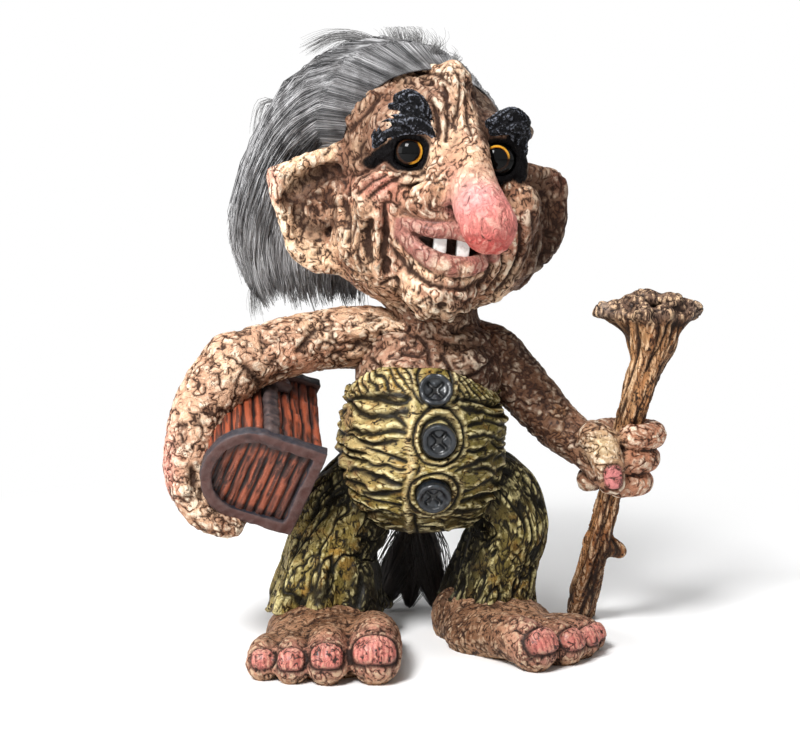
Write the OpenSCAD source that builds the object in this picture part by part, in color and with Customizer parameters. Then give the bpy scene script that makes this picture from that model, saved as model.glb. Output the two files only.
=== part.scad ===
// Folk troll figure that stands on bare feet, with a stick in one hand and a treasure chest under one arm.
// Millimetres. +Z is up, the figure looks along -Y, and the origin is under the middle of it on the ground.

/* [Head] */
// Width of the head across the jowls
head_w = 114; // [106:1:118]
// Depth of the head from brow to nape
head_d = 110; // [104:1:114]
// Height of the head from chin to forehead
head_h = 127; // [122:1:130]
// Turn of the head towards the figure's left, in degrees
head_turn = 9; // [4:1:14]
// Sideways lean of the head, in degrees
head_lean = 4; // [0:1:8]
// Distance that the nose stands out from the face
nose_l = 40; // [32:1:46]
// Radius of the bulb of the nose
nose_r = 13.5; // [11:0.5:15]
// Reach of the figure's right ear from the side of the head
ear_l = 37; // [30:1:40]
// Height of the ears
ear_h = 60; // [50:1:64]
// Thickness of the ears at the rim
ear_t = 6; // [5:0.5:8]

/* [Eyes, brows and teeth] */
// Diameter of the glass eyes
eye_d = 20; // [17:0.5:22]
// Distance between the middles of the eyes
eye_span = 43; // [40:1:46]
// Length of each sculpted brow
brow_l = 30; // [26:1:32]
// Radius of the tufts of the brows
brow_r = 4.8; // [4:0.2:6]
// Width of each tooth
tooth_w = 6.5; // [5:0.5:7.5]
// Height of each tooth with its root
tooth_h = 11; // [9:0.5:12]

/* [Hair] */
// Thickness of the backing that the hair is sewn to
wig_t = 1.2; // [0.8:0.1:2]
// Thickness of the hair at the back of the head
hair_t = 27; // [20:1:28]
// Height above the ground of the ends of the hair
hair_end_z = 160; // [155:1:175]

/* [Body] */
// Width of the belly
belly_w = 86; // [80:1:88]
// Depth of the belly
belly_d = 102; // [96:1:106]
// Number of folds of cloth on each side of the belly
folds = 5; // [4:1:7]
// Width of the chest and shoulders of the trunk
trunk_w = 76; // [72:1:78]
// Radius of the neck
neck_r = 23; // [20:0.5:25]

/* [Arms and legs] */
// Radius of the right upper arm
right_arm_r = 16.5; // [15:0.5:17]
// Radius of the left upper arm
left_arm_r = 15; // [13:0.5:16]
// Radius of the fingers
finger_r = 6.6; // [5.5:0.1:7]
// Radius of the trouser legs at the knee
knee_r = 24; // [22:0.5:25]
// Width of the right trouser leg at its hem
right_hem_w = 66; // [60:1:68]
// Width of the left trouser leg at its hem
left_hem_w = 50; // [46:1:52]
// Number of pleats round each trouser leg
pleats = 8; // [8:1:11]
// Length of the right foot
foot_l = 106; // [102:1:108]
// Width of the right foot across its toes
foot_w = 78; // [74:1:80]
// Height of the feet at the ankle
foot_h = 20; // [18:0.5:21]
// Radius of the big toes
big_toe_r = 11.5; // [10:0.5:12]

/* [Buttons] */
// Diameter of the buttons
button_d = 17; // [14:0.5:19]
// Thickness of the buttons
button_t = 6; // [5:0.5:7]

/* [Treasure chest] */
// Length of the chest along its lid
chest_l = 75; // [70:1:78]
// Width of the chest from front to back
chest_w = 48; // [44:1:50]
// Height of the box below the lid
chest_h = 31; // [28:1:33]
// Height of the domed lid
lid_h = 22; // [19:0.5:23]
// Number of planks up each side of the box below the lid
planks = 6; // [5:1:8]
// Width of the bands round the chest at its ends
band_w = 6; // [4:0.5:8]
// Width of the frame that each band has on the end of the chest
frame_w = 4.6; // [3.5:0.1:6]
// Thickness of the bands
band_t = 1.6; // [1.2:0.1:2]
// Width of the hasp
hasp_w = 11; // [9:0.5:13]

/* [Walking stick] */
// Radius of the stick where the fist holds it
stick_r = 7; // [6:0.5:8]
// Width of the root crown at the top of the stick
crown_w = 60; // [50:1:62]
// Radius of the knob low on the stick
knob_r = 6; // [5:0.5:7]

/* [Tail] */
// Radius of the tail where it leaves the trousers
tail_r = 5; // [4:0.5:6]
// Radius of the tuft on the tail
tuft_r = 7; // [6:0.5:8]

/* [Joining] */
// Diameter of the steel dowels between the castings
dowel_d = 6; // [5:0.5:8]
// Length of the steel dowels
dowel_l = 26; // [22:1:28]
// Clearance left between pieces that seat on each other
seat_gap = 0.3; // [0.2:0.05:0.4]

/* [Hidden] */

// Faces round large rounded forms, small rounded forms and true round pieces
fn_form = 12;
fn_small = 6;
fn_round = 24;
// Steps that a smooth path takes between two of its points
path_steps = 2;
// Height that flat facets may stand below the true curve of the skull
skin_slack = 1.4;
// Length of a cutting block, longer than the figure
big = 400;

// Head frame: its middle, its half sizes and the plane where the neck meets the trunk
head_mid = [0, 10, 230];
head_half = [head_w / 2, head_d / 2, head_h / 2];
neck_z = 166;
neck_mid = [0, 10, neck_z];
// Plane where the trunk meets the trousers
waist_z = 134;
waist_mid = [-6, 2, waist_z];
// Middle of the belly, and the plane between trousers and feet
belly_mid = [-7.5, -4, 97];
right_ankle = [-57, -4, foot_h];
left_ankle = [28, -2, foot_h];
// Middle of the near end of the chest on the seam under its lid, and its turn
chest_seam = [-93.5, -52.6, 93.2];
chest_turn = [48, -60, -38];
// Points along the middle of the stick, each with its radius
stick_path = [[80, 35, 0, stick_r * 1.15], [81, 20, 18, stick_r * 1.12], [84, 10, 37, stick_r],
    [89, 0, 66, stick_r * 0.88], [95, -6, 93, stick_r * 0.9], [102, -10, 125, stick_r * 1.15],
    [109, -10, 150, stick_r * 1.4], [110, -9, 160, stick_r * 1.75]];
crown_mid = [108, -6, 168];

// Basic functions
function unit(v) = v / norm(v);
function spot(v) = [v[0], v[1], v[2]];

// A smooth curve through the points p: every value of a point, such as its radius, is carried along
function curve_at(p, i, t) =
    let (a = p[max(i - 1, 0)], b = p[i], c = p[i + 1], d = p[min(i + 2, len(p) - 1)])
    (2 * b + (c - a) * t + (2 * a - 5 * b + 4 * c - d) * t * t + (3 * b - a - 3 * c + d) * t * t * t) / 2;
function smooth(p) = [for (i = [0:len(p) - 2], k = [0:path_steps - 1]) curve_at(p, i, k / path_steps),
    p[len(p) - 1]];

// The direction of a path at its point i
function heading(s, i) = unit(spot(s[min(i + 1, len(s) - 1)]) - spot(s[max(i - 1, 0)]));

// Faces that join rings of n points and close both ends
function ring_faces(rings, n) = concat(
    [[for (k = [n - 1:-1:0]) k]],
    [for (i = [0:rings - 2], k = [0:n - 1]) each
        let (a = i * n + k, b = i * n + (k + 1) % n) [[a, b + n, a + n], [a, b, b + n]]],
    [[for (k = [0:n - 1]) (rings - 1) * n + k]]);

// A limb along a smooth path of points [x, y, z, side radius, other radius], grown by grow
module limb(points, grow = 0, n = fn_form, ref = [0, 1, 0]) {
    s = smooth(points);
    rings = [for (i = [0:len(s) - 1]) each
        let (h = heading(s, i), side = unit(cross(h, ref)), up = cross(side, h))
        [for (k = [0:n - 1]) spot(s[i])
            + side * (s[i][3] + grow) * cos(360 * k / n)
            + up * (s[i][4] + grow) * sin(360 * k / n)]];
    polyhedron(rings, ring_faces(len(s), n), convexity = 6);
}

// Rings stacked upwards, each [x, y, z, half width, half depth], grown by grow
module stack(levels, grow = 0, n = fn_form) {
    s = smooth(levels);
    rings = [for (i = [0:len(s) - 1], k = [0:n - 1])
        [s[i][0] + (s[i][3] + grow) * cos(360 * k / n), s[i][1] - (s[i][4] + grow)
            * sin(360 * k / n), s[i][2]]];
    polyhedron(rings, ring_faces(len(s), n), convexity = 6);
}

// A ball stretched to the radii r about the point p
module lump(p, r, n = fn_form) {
    translate(p) scale(r) sphere(1, $fn = n);
}

// Round bars between successive balls [x, y, z, radius]
module chain(s, grow = 0, n = fn_small) {
    for (i = [0:len(s) - 2]) {
        hull() {
            translate(spot(s[i])) sphere(s[i][3] + grow, $fn = n);
            translate(spot(s[i + 1])) sphere(s[i + 1][3] + grow, $fn = n);
        }
    }
}

// Turns the children's +Z along the direction d, at the point p
module aim(p, d) {
    translate(p) rotate([0, acos(d[2] / norm(d)), atan2(d[1], d[0])]) children();
}

// Steel dowel across a joint at p along d, and the bore that takes it in both castings
module dowel(p, d) {
    color("silver") aim(p, d) cylinder(d = dowel_d, h = dowel_l, center = true, $fn = fn_round);
}
module dowel_bore(p, d) {
    aim(p, d) cylinder(d = (dowel_d + 2 * seat_gap)
        / cos(180 / fn_form), h = dowel_l + 2 * seat_gap, center = true,
        $fn = fn_form);
}

// Joints: a point and the direction that the dowel runs in
neck_joint = [neck_mid, [0, 0, 1]];
waist_joint = [waist_mid, [0, 0, 1]];
right_shoulder = [[-34, 8, 152], [-1, 0, 0.1]];
left_shoulder = [[31, 10, 143], [0.85, 0, -0.5]];
right_hip = [[-37, 2, 72], [-0.7, 0, -0.7]];
left_hip = [[20, 3, 76], [0.85, -0.1, -0.5]];
right_ankle_joint = [right_ankle, [0, 0, 1]];
left_ankle_joint = [left_ankle, [0, 0, 1]];

// Head
// The head has its own frame, turned and leaning, and hp gives a point in shares of its half sizes
module head_frame() {
    translate(head_mid) rotate([0, 0, head_turn]) rotate([0, head_lean, 0]) children();
}
function hp(x, y, z) = [x * head_half[0], y * head_half[1], z * head_half[2]];

// Rounded masses that the skull is blended from: each is its middle and its radii
skull_masses = [
    // Cranium and jowls
    [hp(-0.12, 0.09, 0.28), [head_half[0] * 0.76, head_half[1], head_half[2] * 0.74]],
    [hp(-0.27, -0.1, 0.46), [head_half[0] * 0.6, head_half[1] * 0.69, head_half[2] * 0.54]],
    [hp(0, 0, -0.34), [head_half[0], head_half[1] * 0.84, head_half[2] * 0.63]],
    // Muzzle and chin
    [hp(0, -0.56, -0.38), [head_half[0] * 0.5, head_half[1] * 0.52, head_half[2] * 0.42]],
    [hp(-0.02, -0.8, -0.79), [head_half[0] * 0.26, head_half[1] * 0.26, head_half[2] * 0.2]],
    // Cheeks
    [hp(-0.58, -0.6, -0.1), [16, 16, 16]],
    [hp(0.56, -0.6, -0.12), [16, 16, 16]],
    // Brow ridges and the ridge up the forehead
    [hp(-0.38, -0.68, 0.52), [19, 14, 9]],
    [hp(0.38, -0.68, 0.52), [19, 14, 9]],
    [hp(-0.02, -0.66, 0.62), [9, 13, 24]]];
// How sharply the masses meet: higher is sharper
blend = 14;
// Distance from the skull's middle along d to the far side of a stretched ball, or 0 past its rim
function far_side(d, mass) =
    let (e = [for (c = [0:2]) d[c] / mass[1][c]], m = [for (c = [0:2]) mass[0][c] / mass[1][c]],
        q = (e * m) * (e * m) - (e * e) * (m * m - 1))
    q <= 0 ? 0 : max(0, (e * m + sqrt(q)) / (e * e));
// Distance from the skull's middle to its skin along d: the power mean of the masses' far sides
function skull_r(d) = pow([for (m = skull_masses) pow(far_side(d, m), blend)] * [for (m = skull_masses)
    1], 1 / blend);

// A point at the height out above the skin of the skull, in the direction of v
function on_skull(v, out) = unit(v) * (skull_r(unit(v)) + out);

eye_mids = [[-eye_span / 2, -39, 19.5], [eye_span / 2, -39, 19.5]];
tooth_mids = [[-6.5, -54, -24], [5, -54, -25]];
nose_tip = [11, -head_half[1] - nose_l * 0.72, -13];

// The skull as rings round its upright axis, grown by grow
module skull(grow = 0, around = 24, rows = 16) {
    rings = [for (i = [1:rows - 1], k = [0:around - 1])
        let (v = 180 * i / rows, a = 360 * k / around, d = [sin(v) * cos(a), sin(v) * sin(a), cos(v)])
        d * (skull_r(d) + grow)];
    polyhedron(rings, ring_faces(rows - 1, around), convexity = 4);
}

// One ear: side is -1 for the figure's right and 1 for its left, which turns further back
module ear(side, grow = 0) {
    r = ear_t / 2 + grow;
    reach = side < 0 ? ear_l : ear_l * 0.78;
    back = side < 0 ? 0 : reach * 0.5;
    root = head_half[0] * (side < 0 ? 0.86 : 0.8);
    // Outline of the ear: shares of its reach past the root, of its sweep back and of its height
    outline = [[-0.2, 0, 0.34], [0.5, 0.5, 0.27], [1, 1, 0.08], [0.85, 0.8, -0.33], [0.57, 0.5, -0.62],
        [0.15, 0.2, -0.72],
        [-0.15, 0, -0.66]];
    difference() {
        hull() {
            for (o = outline) {
                translate([side * (root + reach * o[0]), 3 + back * o[1],
                    ear_h * o[2]]) sphere(r + 0.5, $fn = fn_small);
            }
        }
        if (grow == 0) {
            // Hollow under the upper rim and the shallower one below it
            lump([side * (root + reach * 0.5), back * 0.5 - ear_t * 0.7, ear_h * 0.08],
                [reach * 0.34, ear_t, ear_h * 0.12],
                fn_small);
            lump([side * (root + reach * 0.4), back * 0.4 - ear_t * 0.8, -ear_h * 0.28],
                [reach * 0.26, ear_t, ear_h * 0.2],
                fn_small);
        }
    }
}

// Folds of the face: rough places that are set on the skin, to the right and to the left of the mouth
cheek_folds = [
    [[-50, -24, 4], [-50, -24, -18], [-46, -24, -34]],
    [[-34, -44, -6], [-34, -44, -26], [-29, -46, -42]],
    [[31, -46, -14], [33, -46, -30], [27, -48, -44]],
    [[40, -38, -8], [41, -38, -26], [35, -40, -44]]];
fold_r = 2.8;
// Rolled edge of the skin along the hairline
hairline = [[-48, -20, 34], [-42, -26, 45], [-30, -30, 54], [-16, -33, 60], [-4, -34, 62]];
module skin_fold(places, r) {
    chain([for (v = places) let (p = on_skull(v, 0)) [p[0], p[1], p[2], r]], 0, fn_small - 1);
}

// Nose, lips and ears on the skull
module face_forms() {
    ear(-1);
    ear(1);
    // Nose, from between the eyes to its bulb
    limb([[-1, -44, 30, 6, 6], [-1, -52, 20, nose_r * 0.7, nose_r * 0.6],
        [0, -62, 8, nose_r * 0.85, nose_r * 0.8],
        [4, -74, -3, nose_r * 0.95, nose_r * 0.95], [nose_tip[0], nose_tip[1] + 3, nose_tip[2],
            nose_r, nose_r]], 0, fn_form);
    lump(nose_tip, [nose_r, nose_r, nose_r], fn_form);
    // Wings of the nose
    lump([-12, -58, -5], [9, 9, 7], fn_form);
    lump([14, -58, -6], [9, 9, 7], fn_form);
    // Upper and lower lip
    chain([[-25, -45, -14, 3.5], [-11, -57, -19, 4], [6, -58, -20, 4], [23, -46, -22, 3.5]]);
    chain([[-23, -45, -18, 3.5], [-8, -57, -33, 5], [6, -57, -34, 5], [21, -46, -26, 3.5]]);
    for (f = concat(cheek_folds, [hairline])) {
        skin_fold(f, fold_r);
    }
}

// Stub of the neck that stands on the trunk
module neck(grow = 0) {
    translate(neck_mid) cylinder(r = neck_r + grow, h = 24, $fn = fn_form);
}
module head_solid() {
    head_frame() {
        skull();
        face_forms();
    }
    neck();
}

module head() {
    color("tan") difference() {
        head_solid();
        head_frame() {
            for (e = eye_mids) {
                translate(e) sphere(d = eye_d + 3 * seat_gap, $fn = fn_form + 4);
            }
            // Open mouth between the lips
            hull() {
                lump([-17, -52, -20], [3, 9, 2.5], fn_small);
                lump([-2, -56, -25.5], [10, 11, 4.5], fn_small);
                lump([15, -52, -24], [3, 9, 2.5], fn_small);
            }
            for (t = tooth_mids) {
                tooth_block(t, seat_gap);
            }
        }
        translate([0, 0, neck_z - big / 2]) cylinder(r = neck_r * 2, h = big, center = true, $fn = fn_form);
        dowel_bore(neck_joint[0], neck_joint[1]);
    }
}

// A glass eye is a ball that sits in a round socket
module eye(i) {
    color("darkorange") head_frame() translate(eye_mids[i]) sphere(d = eye_d, $fn = fn_round);
}

// A sculpted brow of three tufts that lies on the brow ridge
module brow(side) {
    color("dimgray") difference() {
        head_frame() {
            for (k = [0:2]) {
                x = (side < 0 ? 9 : 6) + brow_l * 0.27 * k;
                hull() {
                    lump(on_skull([side * x, -45, 37 + 3 * (1 - abs(k - 1))],
                        1.5), [brow_r, brow_r, brow_r], fn_small + 2);
                    lump(on_skull([side * (x + brow_l * 0.27), -45 + 4 * k, 33 - k],
                        1), [brow_r, brow_r, brow_r] * 0.9, fn_small + 2);
                }
            }
        }
        head_solid();
        head_frame() translate(eye_mids[side < 0 ? 0 : 1])
            sphere(d = eye_d + 3 * seat_gap, $fn = fn_form + 4);
    }
}

// A square tooth with its root set up into the gum
module tooth_block(t, grow = 0) {
    translate(t + [0, 0, tooth_h / 2]) cube([tooth_w + 2 * grow, 5 + 2 * grow, tooth_h + 2 * grow],
        center = true);
}
module tooth(i) {
    color("ivory") head_frame() difference() {
        tooth_block(tooth_mids[i]);
        for (side = [-1, 1]) {
            translate(tooth_mids[i] + [side * tooth_w / 2, 0, 0]) rotate([0, 45, 0]) cube([1.4, 6, 1.4],
                center = true);
        }
    }
}

// Hair
// The backing is a cap on the skull, out to wig_reach degrees from its pole, which leans back from upright
wig_reach = 66;
wig_lean = 52;
module wig_skin() {
    rings = 6;
    n = 20;
    pole = [0, sin(wig_lean), cos(wig_lean)];
    side = [1, 0, 0];
    up = cross(pole, side);
    // Rings out along the outer skin and back along the inner one: angle from the pole and height off the skull
    walk = concat([for (i = [0.3, 1, 2, 3, 4, 5, 6]) [i * wig_reach / rings, seat_gap + wig_t]],
        [for (i = [6, 5, 4, 3, 2, 1, 0.3]) [i * wig_reach / rings, seat_gap]]);
    pts = [for (w = walk, k = [0:n - 1])
        let (d = pole * cos(w[0]) + (side * cos(360 * k / n) + up * sin(360 * k / n)) * sin(w[0]))
        d * (skull_r(d) + w[1] + skin_slack)];
    color("darkslategray") head_frame() polyhedron(pts, ring_faces(len(walk), n), convexity = 4);
}

// The hair is a mass of thick locks that lies on the backing and falls behind the ears. Its front is cut on a
// plane that leans forward from the ears to the hairline by these degrees
hairline_lean = 29;
module hair() {
    lift = 2 * seat_gap + wig_t + 3 * skin_slack;
    y0 = head_mid[1] + head_half[1] - 28 + hair_t;
    color("gray") difference() {
        union() {
            head_frame() intersection() {
                lump(hp(-0.4, 0.3, 0.33), [head_half[0] * 1.05, head_half[1] + hair_t * 0.6,
                    head_half[2] * 0.94], fn_form + 8);
                rotate([hairline_lean, 0, 0]) translate([-big / 2, -2.6, -44]) cube(big);
            }
            // Locks down the back and behind the ears
            chain([[-58, y0 - 22, 262, 26], [-76, y0 - 18, 236, 31], [-84, y0 - 16, 205, 28],
                [-82, y0 - 12, hair_end_z + 17, 17]], 0, fn_form);
            chain([[-30, y0 - 4, 262, 30], [-44, y0, 225, 33], [-48, y0, 190, 28],
                [-50, y0 - 2, hair_end_z + 14, 14]], 0, fn_form);
            chain([[12, y0 - 2, 258, 28], [8, y0, 220, 33], [4, y0 - 2, 188, 28],
                [0, y0 - 2, hair_end_z + 14, 14]], 0, fn_form);
            // Tufts on the crown
            chain([[-30, 20, 294, 11], [-44, 24, 305, 7], [-56, 28, 312, 3.5]]);
            chain([[-16, 16, 294, 11], [-14, 18, 307, 6], [-20, 20, 313, 3]]);
        }
        head_frame() {
            skull(lift);
            ear(-1, 1);
            ear(1, 1);
        }
        trunk_forms(1);
        right_arm_forms(1);
        neck(1);
    }
}

// Trunk
module trunk_forms(grow = 0) {
    stack([[-5, 2, waist_z, trunk_w * 0.5, 32], [-4, 4, 146, trunk_w * 0.49, 29],
        [-2, 7, 156, trunk_w * 0.45, 25],
        [0, 9, 162, trunk_w * 0.36, 23.5], [0, 10, neck_z, neck_r, neck_r]], grow);
    for (side = [-1, 1]) {
        x0 = -3;
        // Shoulder
        chain([[x0 + side * 14, 10, 155, 9], [x0 + side * trunk_w * 0.36, 9, 150 - side * 2, 13]], grow);
        // Collar bone and breast
        chain([[x0 + side * 4, -14, 157, 3], [x0 + side * 16, -12, 156, 3.5],
            [x0 + side * 26, -4, 154, 4]], grow);
        hull() {
            lump([x0 + side * 13, -18, 144], [13 + grow, 9 + grow, 7 + grow], fn_small);
            lump([x0 + side * 22, -12, 142], [10 + grow, 9 + grow, 7 + grow], fn_small);
        }
    }
}
module trunk() {
    color("tan") difference() {
        trunk_forms();
        translate([0, 0, neck_z + big / 2]) cube(big, center = true);
        translate([0, 0, waist_z - big / 2 + seat_gap]) cube(big, center = true);
        dowel_bore(neck_joint[0], neck_joint[1]);
        dowel_bore(waist_joint[0], waist_joint[1]);
        dowel_bore(right_shoulder[0], right_shoulder[1]);
        dowel_bore(left_shoulder[0], left_shoulder[1]);
    }
}

// Trousers
belly_levels = [[belly_mid[0], 0, 57, belly_w * 0.2, belly_d * 0.16], [belly_mid[0],
    0, 62, belly_w * 0.36, belly_d * 0.3],
    [belly_mid[0], -2, 74, belly_w * 0.47, belly_d * 0.43], [belly_mid[0],
        -4, 95, belly_w * 0.5, belly_d * 0.5],
    [belly_mid[0], -4, 112, belly_w * 0.5, belly_d * 0.48], [belly_mid[0],
        -3, 126, belly_w * 0.48, belly_d * 0.42],
    [belly_mid[0], -2, waist_z, belly_w * 0.45, belly_d * 0.37]];
// Each button: height of its middle, place across, and how far its face tips down in degrees
buttons = [[133, 6, -24], [111, 7.5, 2], [84, 5, 24]];
// Front of the belly at a height, from its levels
function belly_half(z) = lookup(z, [for (l = belly_levels) [l[2], l[3]]]);
function belly_front(z) = lookup(z, [for (l = belly_levels) [l[2], l[1] - l[4]]]);

// Places the children on a button's seat with +Z out of the belly
module button_frame(b) {
    translate([belly_mid[0] + b[1], belly_front(b[0]) + 2.5, b[0]]) rotate([90 + b[2], 0, 0]) children();
}
module seat_forms(grow = 0) {
    stack(belly_levels, grow, fn_form + 6);
    // Folds of cloth across both sides of the belly's front
    for (k = [0:folds - 1], side = [-1, 1]) {
        hull() {
            for (a = [22, 52]) {
                z = 72 + 48 * k / (folds - 1) + a * 0.08 * side;
                translate([belly_mid[0] + side * belly_half(z)
                    * sin(a), belly_mid[1] - (belly_mid[1] - belly_front(z)) * cos(a), z])
                    sphere(2.4 + grow, $fn = fn_small);
            }
        }
    }
}
module trousers_seat() {
    color("olive") difference() {
        seat_forms();
        translate([0, 0, waist_z + big / 2]) cube(big, center = true);
        for (b = buttons) {
            button_frame(b) cylinder(d = button_d + 2 * seat_gap, h = big, $fn = fn_form);
        }
        dowel_bore(waist_joint[0], waist_joint[1]);
        dowel_bore(right_hip[0], right_hip[1]);
        dowel_bore(left_hip[0], left_hip[1]);
    }
}

// A button: a round disc with a raised rim and a crossed middle
module button(i) {
    color("darkslategray") button_frame(buttons[i]) translate([0, 0, seat_gap]) difference() {
        cylinder(d = button_d, h = button_t, $fn = fn_round);
        translate([0, 0, button_t - 1.5]) cylinder(d = button_d * 0.62, h = 2, $fn = fn_round);
        for (a = [45, 135]) {
            rotate(a) translate([0, 0, button_t - 2]) cube([button_d * 0.45, 1.6, 3], center = true);
        }
    }
}

// Pleats that run down a trouser leg from a ring at its knee to a ring at its hem
module leg_pleats(knee, kr, hem, hr, grow) {
    for (k = [0:pleats - 1]) {
        a = 360 * k / pleats;
        hull() {
            translate(knee + [kr[0] * cos(a), kr[1] * sin(a), 0]) sphere(4 + grow, $fn = fn_small);
            translate(hem + [hr[0] * cos(a), hr[1] * sin(a), 3.2]) sphere(5 + grow, $fn = fn_small);
        }
    }
}
module right_leg_forms(grow = 0) {
    limb([[-34, 2, 84, knee_r * 0.9, knee_r], [-46, 0, 66, knee_r * 0.98, knee_r],
        [-54, -3, 48, knee_r * 0.96, knee_r],
        [-56, -6, 34, right_hem_w * 0.4, right_hem_w * 0.38],
            [-57, -7, foot_h, right_hem_w * 0.49, right_hem_w * 0.44]], grow);
    leg_pleats([-54, -4, 44], [knee_r * 0.86, knee_r * 0.9], [-57, -7, foot_h],
        [right_hem_w * 0.46, right_hem_w * 0.41], grow);
}
module left_leg_forms(grow = 0) {
    limb([[10, 3, 84, knee_r * 0.84, knee_r * 0.96], [28, 0, 76, knee_r * 0.86, knee_r * 0.92],
        [38, -1, 60, knee_r * 0.84, knee_r * 0.9],
        [31, 0, 40, left_hem_w * 0.4, left_hem_w * 0.42],
            [27, 0, foot_h, left_hem_w * 0.48, left_hem_w * 0.46]], grow);
    leg_pleats([35, -1, 54], [knee_r * 0.78, knee_r * 0.84], [27, 0, foot_h],
        [left_hem_w * 0.45, left_hem_w * 0.43], grow);
}
module trouser_leg(hip, ankle) {
    color("olive") difference() {
        children();
        seat_forms(seat_gap);
        translate([0, 0, foot_h + seat_gap - big / 2]) cube(big, center = true);
        dowel_bore(hip[0], hip[1]);
        dowel_bore(ankle[0], ankle[1]);
    }
}
module right_trouser_leg() {
    trouser_leg(right_hip, right_ankle_joint) right_leg_forms();
}
module left_trouser_leg() {
    trouser_leg(left_hip, left_ankle_joint) left_leg_forms();
}

// Feet
// A foot in its own frame: the heel at the origin, toes towards -Y, and the big toe on the side given
module foot(length, width, big_side) {
    toes = [[-0.36, 1, big_toe_r], [-0.1, 1.02, big_toe_r * 0.87], [0.14, 0.97, big_toe_r * 0.8],
        [0.36, 0.88, big_toe_r * 0.74]];
    hull() {
        lump([0, 0, 6], [width * 0.34, width * 0.32, 12], fn_small);
        lump([0, -length * 0.22, 8], [width * 0.34, width * 0.36, foot_h], fn_form);
        lump([0, -length * 0.62, 6], [width * 0.48, width * 0.24, 9], fn_form);
    }
    for (t = toes) {
        x = -big_side * t[0] * width;
        y = -length * t[1];
        hull() {
            translate([x * 0.92, -length * 0.66, 6]) sphere(t[2] * 0.8, $fn = fn_small);
            translate([x, y + t[2] * 1.2, t[2] * 0.62]) sphere(t[2] * 0.82, $fn = fn_small);
        }
        hull() {
            translate([x, y + t[2] * 1.2, t[2] * 0.62]) sphere(t[2] * 0.82, $fn = fn_small);
            translate([x, y + t[2], t[2] * 0.55]) sphere(t[2], $fn = fn_small);
        }
    }
}
module planted_foot(ankle, heel, turn, length, width, big_side) {
    color("sienna") difference() {
        translate(heel) rotate([0, 0, turn]) foot(length, width, big_side);
        translate([0, 0, foot_h + big / 2]) cube(big, center = true);
        translate([0, 0, -big / 2]) cube(big, center = true);
        dowel_bore(ankle[0], ankle[1]);
    }
}
module right_foot() {
    planted_foot(right_ankle_joint, [-57, 8, 0], 0, foot_l, foot_w, 1);
}
module left_foot() {
    planted_foot(left_ankle_joint, [14, 2, 0], 42, foot_l * 0.81, foot_w * 0.77, -1);
}

// Arms
// The right arm goes out, down round the chest and under it with the hand
right_arm_path = [[-20, 9, 152, right_arm_r * 0.9, right_arm_r * 0.9],
    [-36, 7, 156, right_arm_r, right_arm_r],
    [-60, 0, 155, right_arm_r * 0.94, right_arm_r], [-86, -12, 150, right_arm_r * 0.94, right_arm_r],
    [-105, -20, 141, right_arm_r, right_arm_r], [-118, -27, 122, right_arm_r * 0.96, right_arm_r],
    [-124, -33, 98, right_arm_r * 0.84, right_arm_r * 0.9], [-120, -34, 80, right_arm_r * 0.6, right_arm_r]];
module right_arm_forms(grow = 0) {
    limb(right_arm_path, grow, fn_form, [0.2, 1, 0.1]);
    // Fingers under the chest
    for (k = [0:2]) {
        y = -44 + 14 * k;
        chain([[-125, y, 84, finger_r], [-116, y, 73, finger_r], [-103, y, 65, finger_r * 0.9],
            [-92, y + 1, 61, finger_r * 0.8]], grow);
    }
}
module right_arm() {
    color("tan") difference() {
        right_arm_forms();
        chest_envelope(seat_gap);
        hasp_space(seat_gap);
        head_frame() skull(seat_gap + skin_slack);
        translate([0, 0, -4]) neck(2 * seat_gap);
        trunk_forms(seat_gap);
        seat_forms(seat_gap);
        dowel_bore(right_shoulder[0], right_shoulder[1]);
    }
}

// The left arm hangs forward and its fist holds the stick
left_arm_path = [[22, 12, 148, left_arm_r * 0.9, left_arm_r * 0.9], [36, 12, 140, left_arm_r, left_arm_r],
    [52, 9, 122, left_arm_r * 0.95, left_arm_r * 0.95], [66, 2, 108, left_arm_r * 0.85, left_arm_r * 0.85],
    [80, -8, 99, left_arm_r * 0.78, left_arm_r * 0.85]];
fist = [95, -6, 94];
module left_arm_forms(grow = 0) {
    limb(left_arm_path, grow, fn_form, [0, 0, 1]);
    lump([86, -11, 96], [11 + grow, 12 + grow, 15 + grow], fn_form);
    reach = stick_r + finger_r * 0.85;
    // Fingers round the stick, from the palm behind it to the front
    for (k = [0:2]) {
        z = fist[2] + 13 - 12.2 * k;
        x = fist[0] + (z - fist[2]) * 0.23;
        chain([for (a = [150, 75, 0, -80]) [x + reach * cos(a), fist[1] + reach * sin(a), z, finger_r]],
            grow);
    }
    // Thumb down the front of the stick
    chain([[84, -18, 104, 8], [86, -25, 95, 7.5], [88, -28, 86, 6.5]], grow);
}
module left_arm() {
    color("tan") difference() {
        left_arm_forms();
        stick_forms(seat_gap);
        trunk_forms(seat_gap);
        seat_forms(seat_gap);
        dowel_bore(left_shoulder[0], left_shoulder[1]);
    }
}

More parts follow.
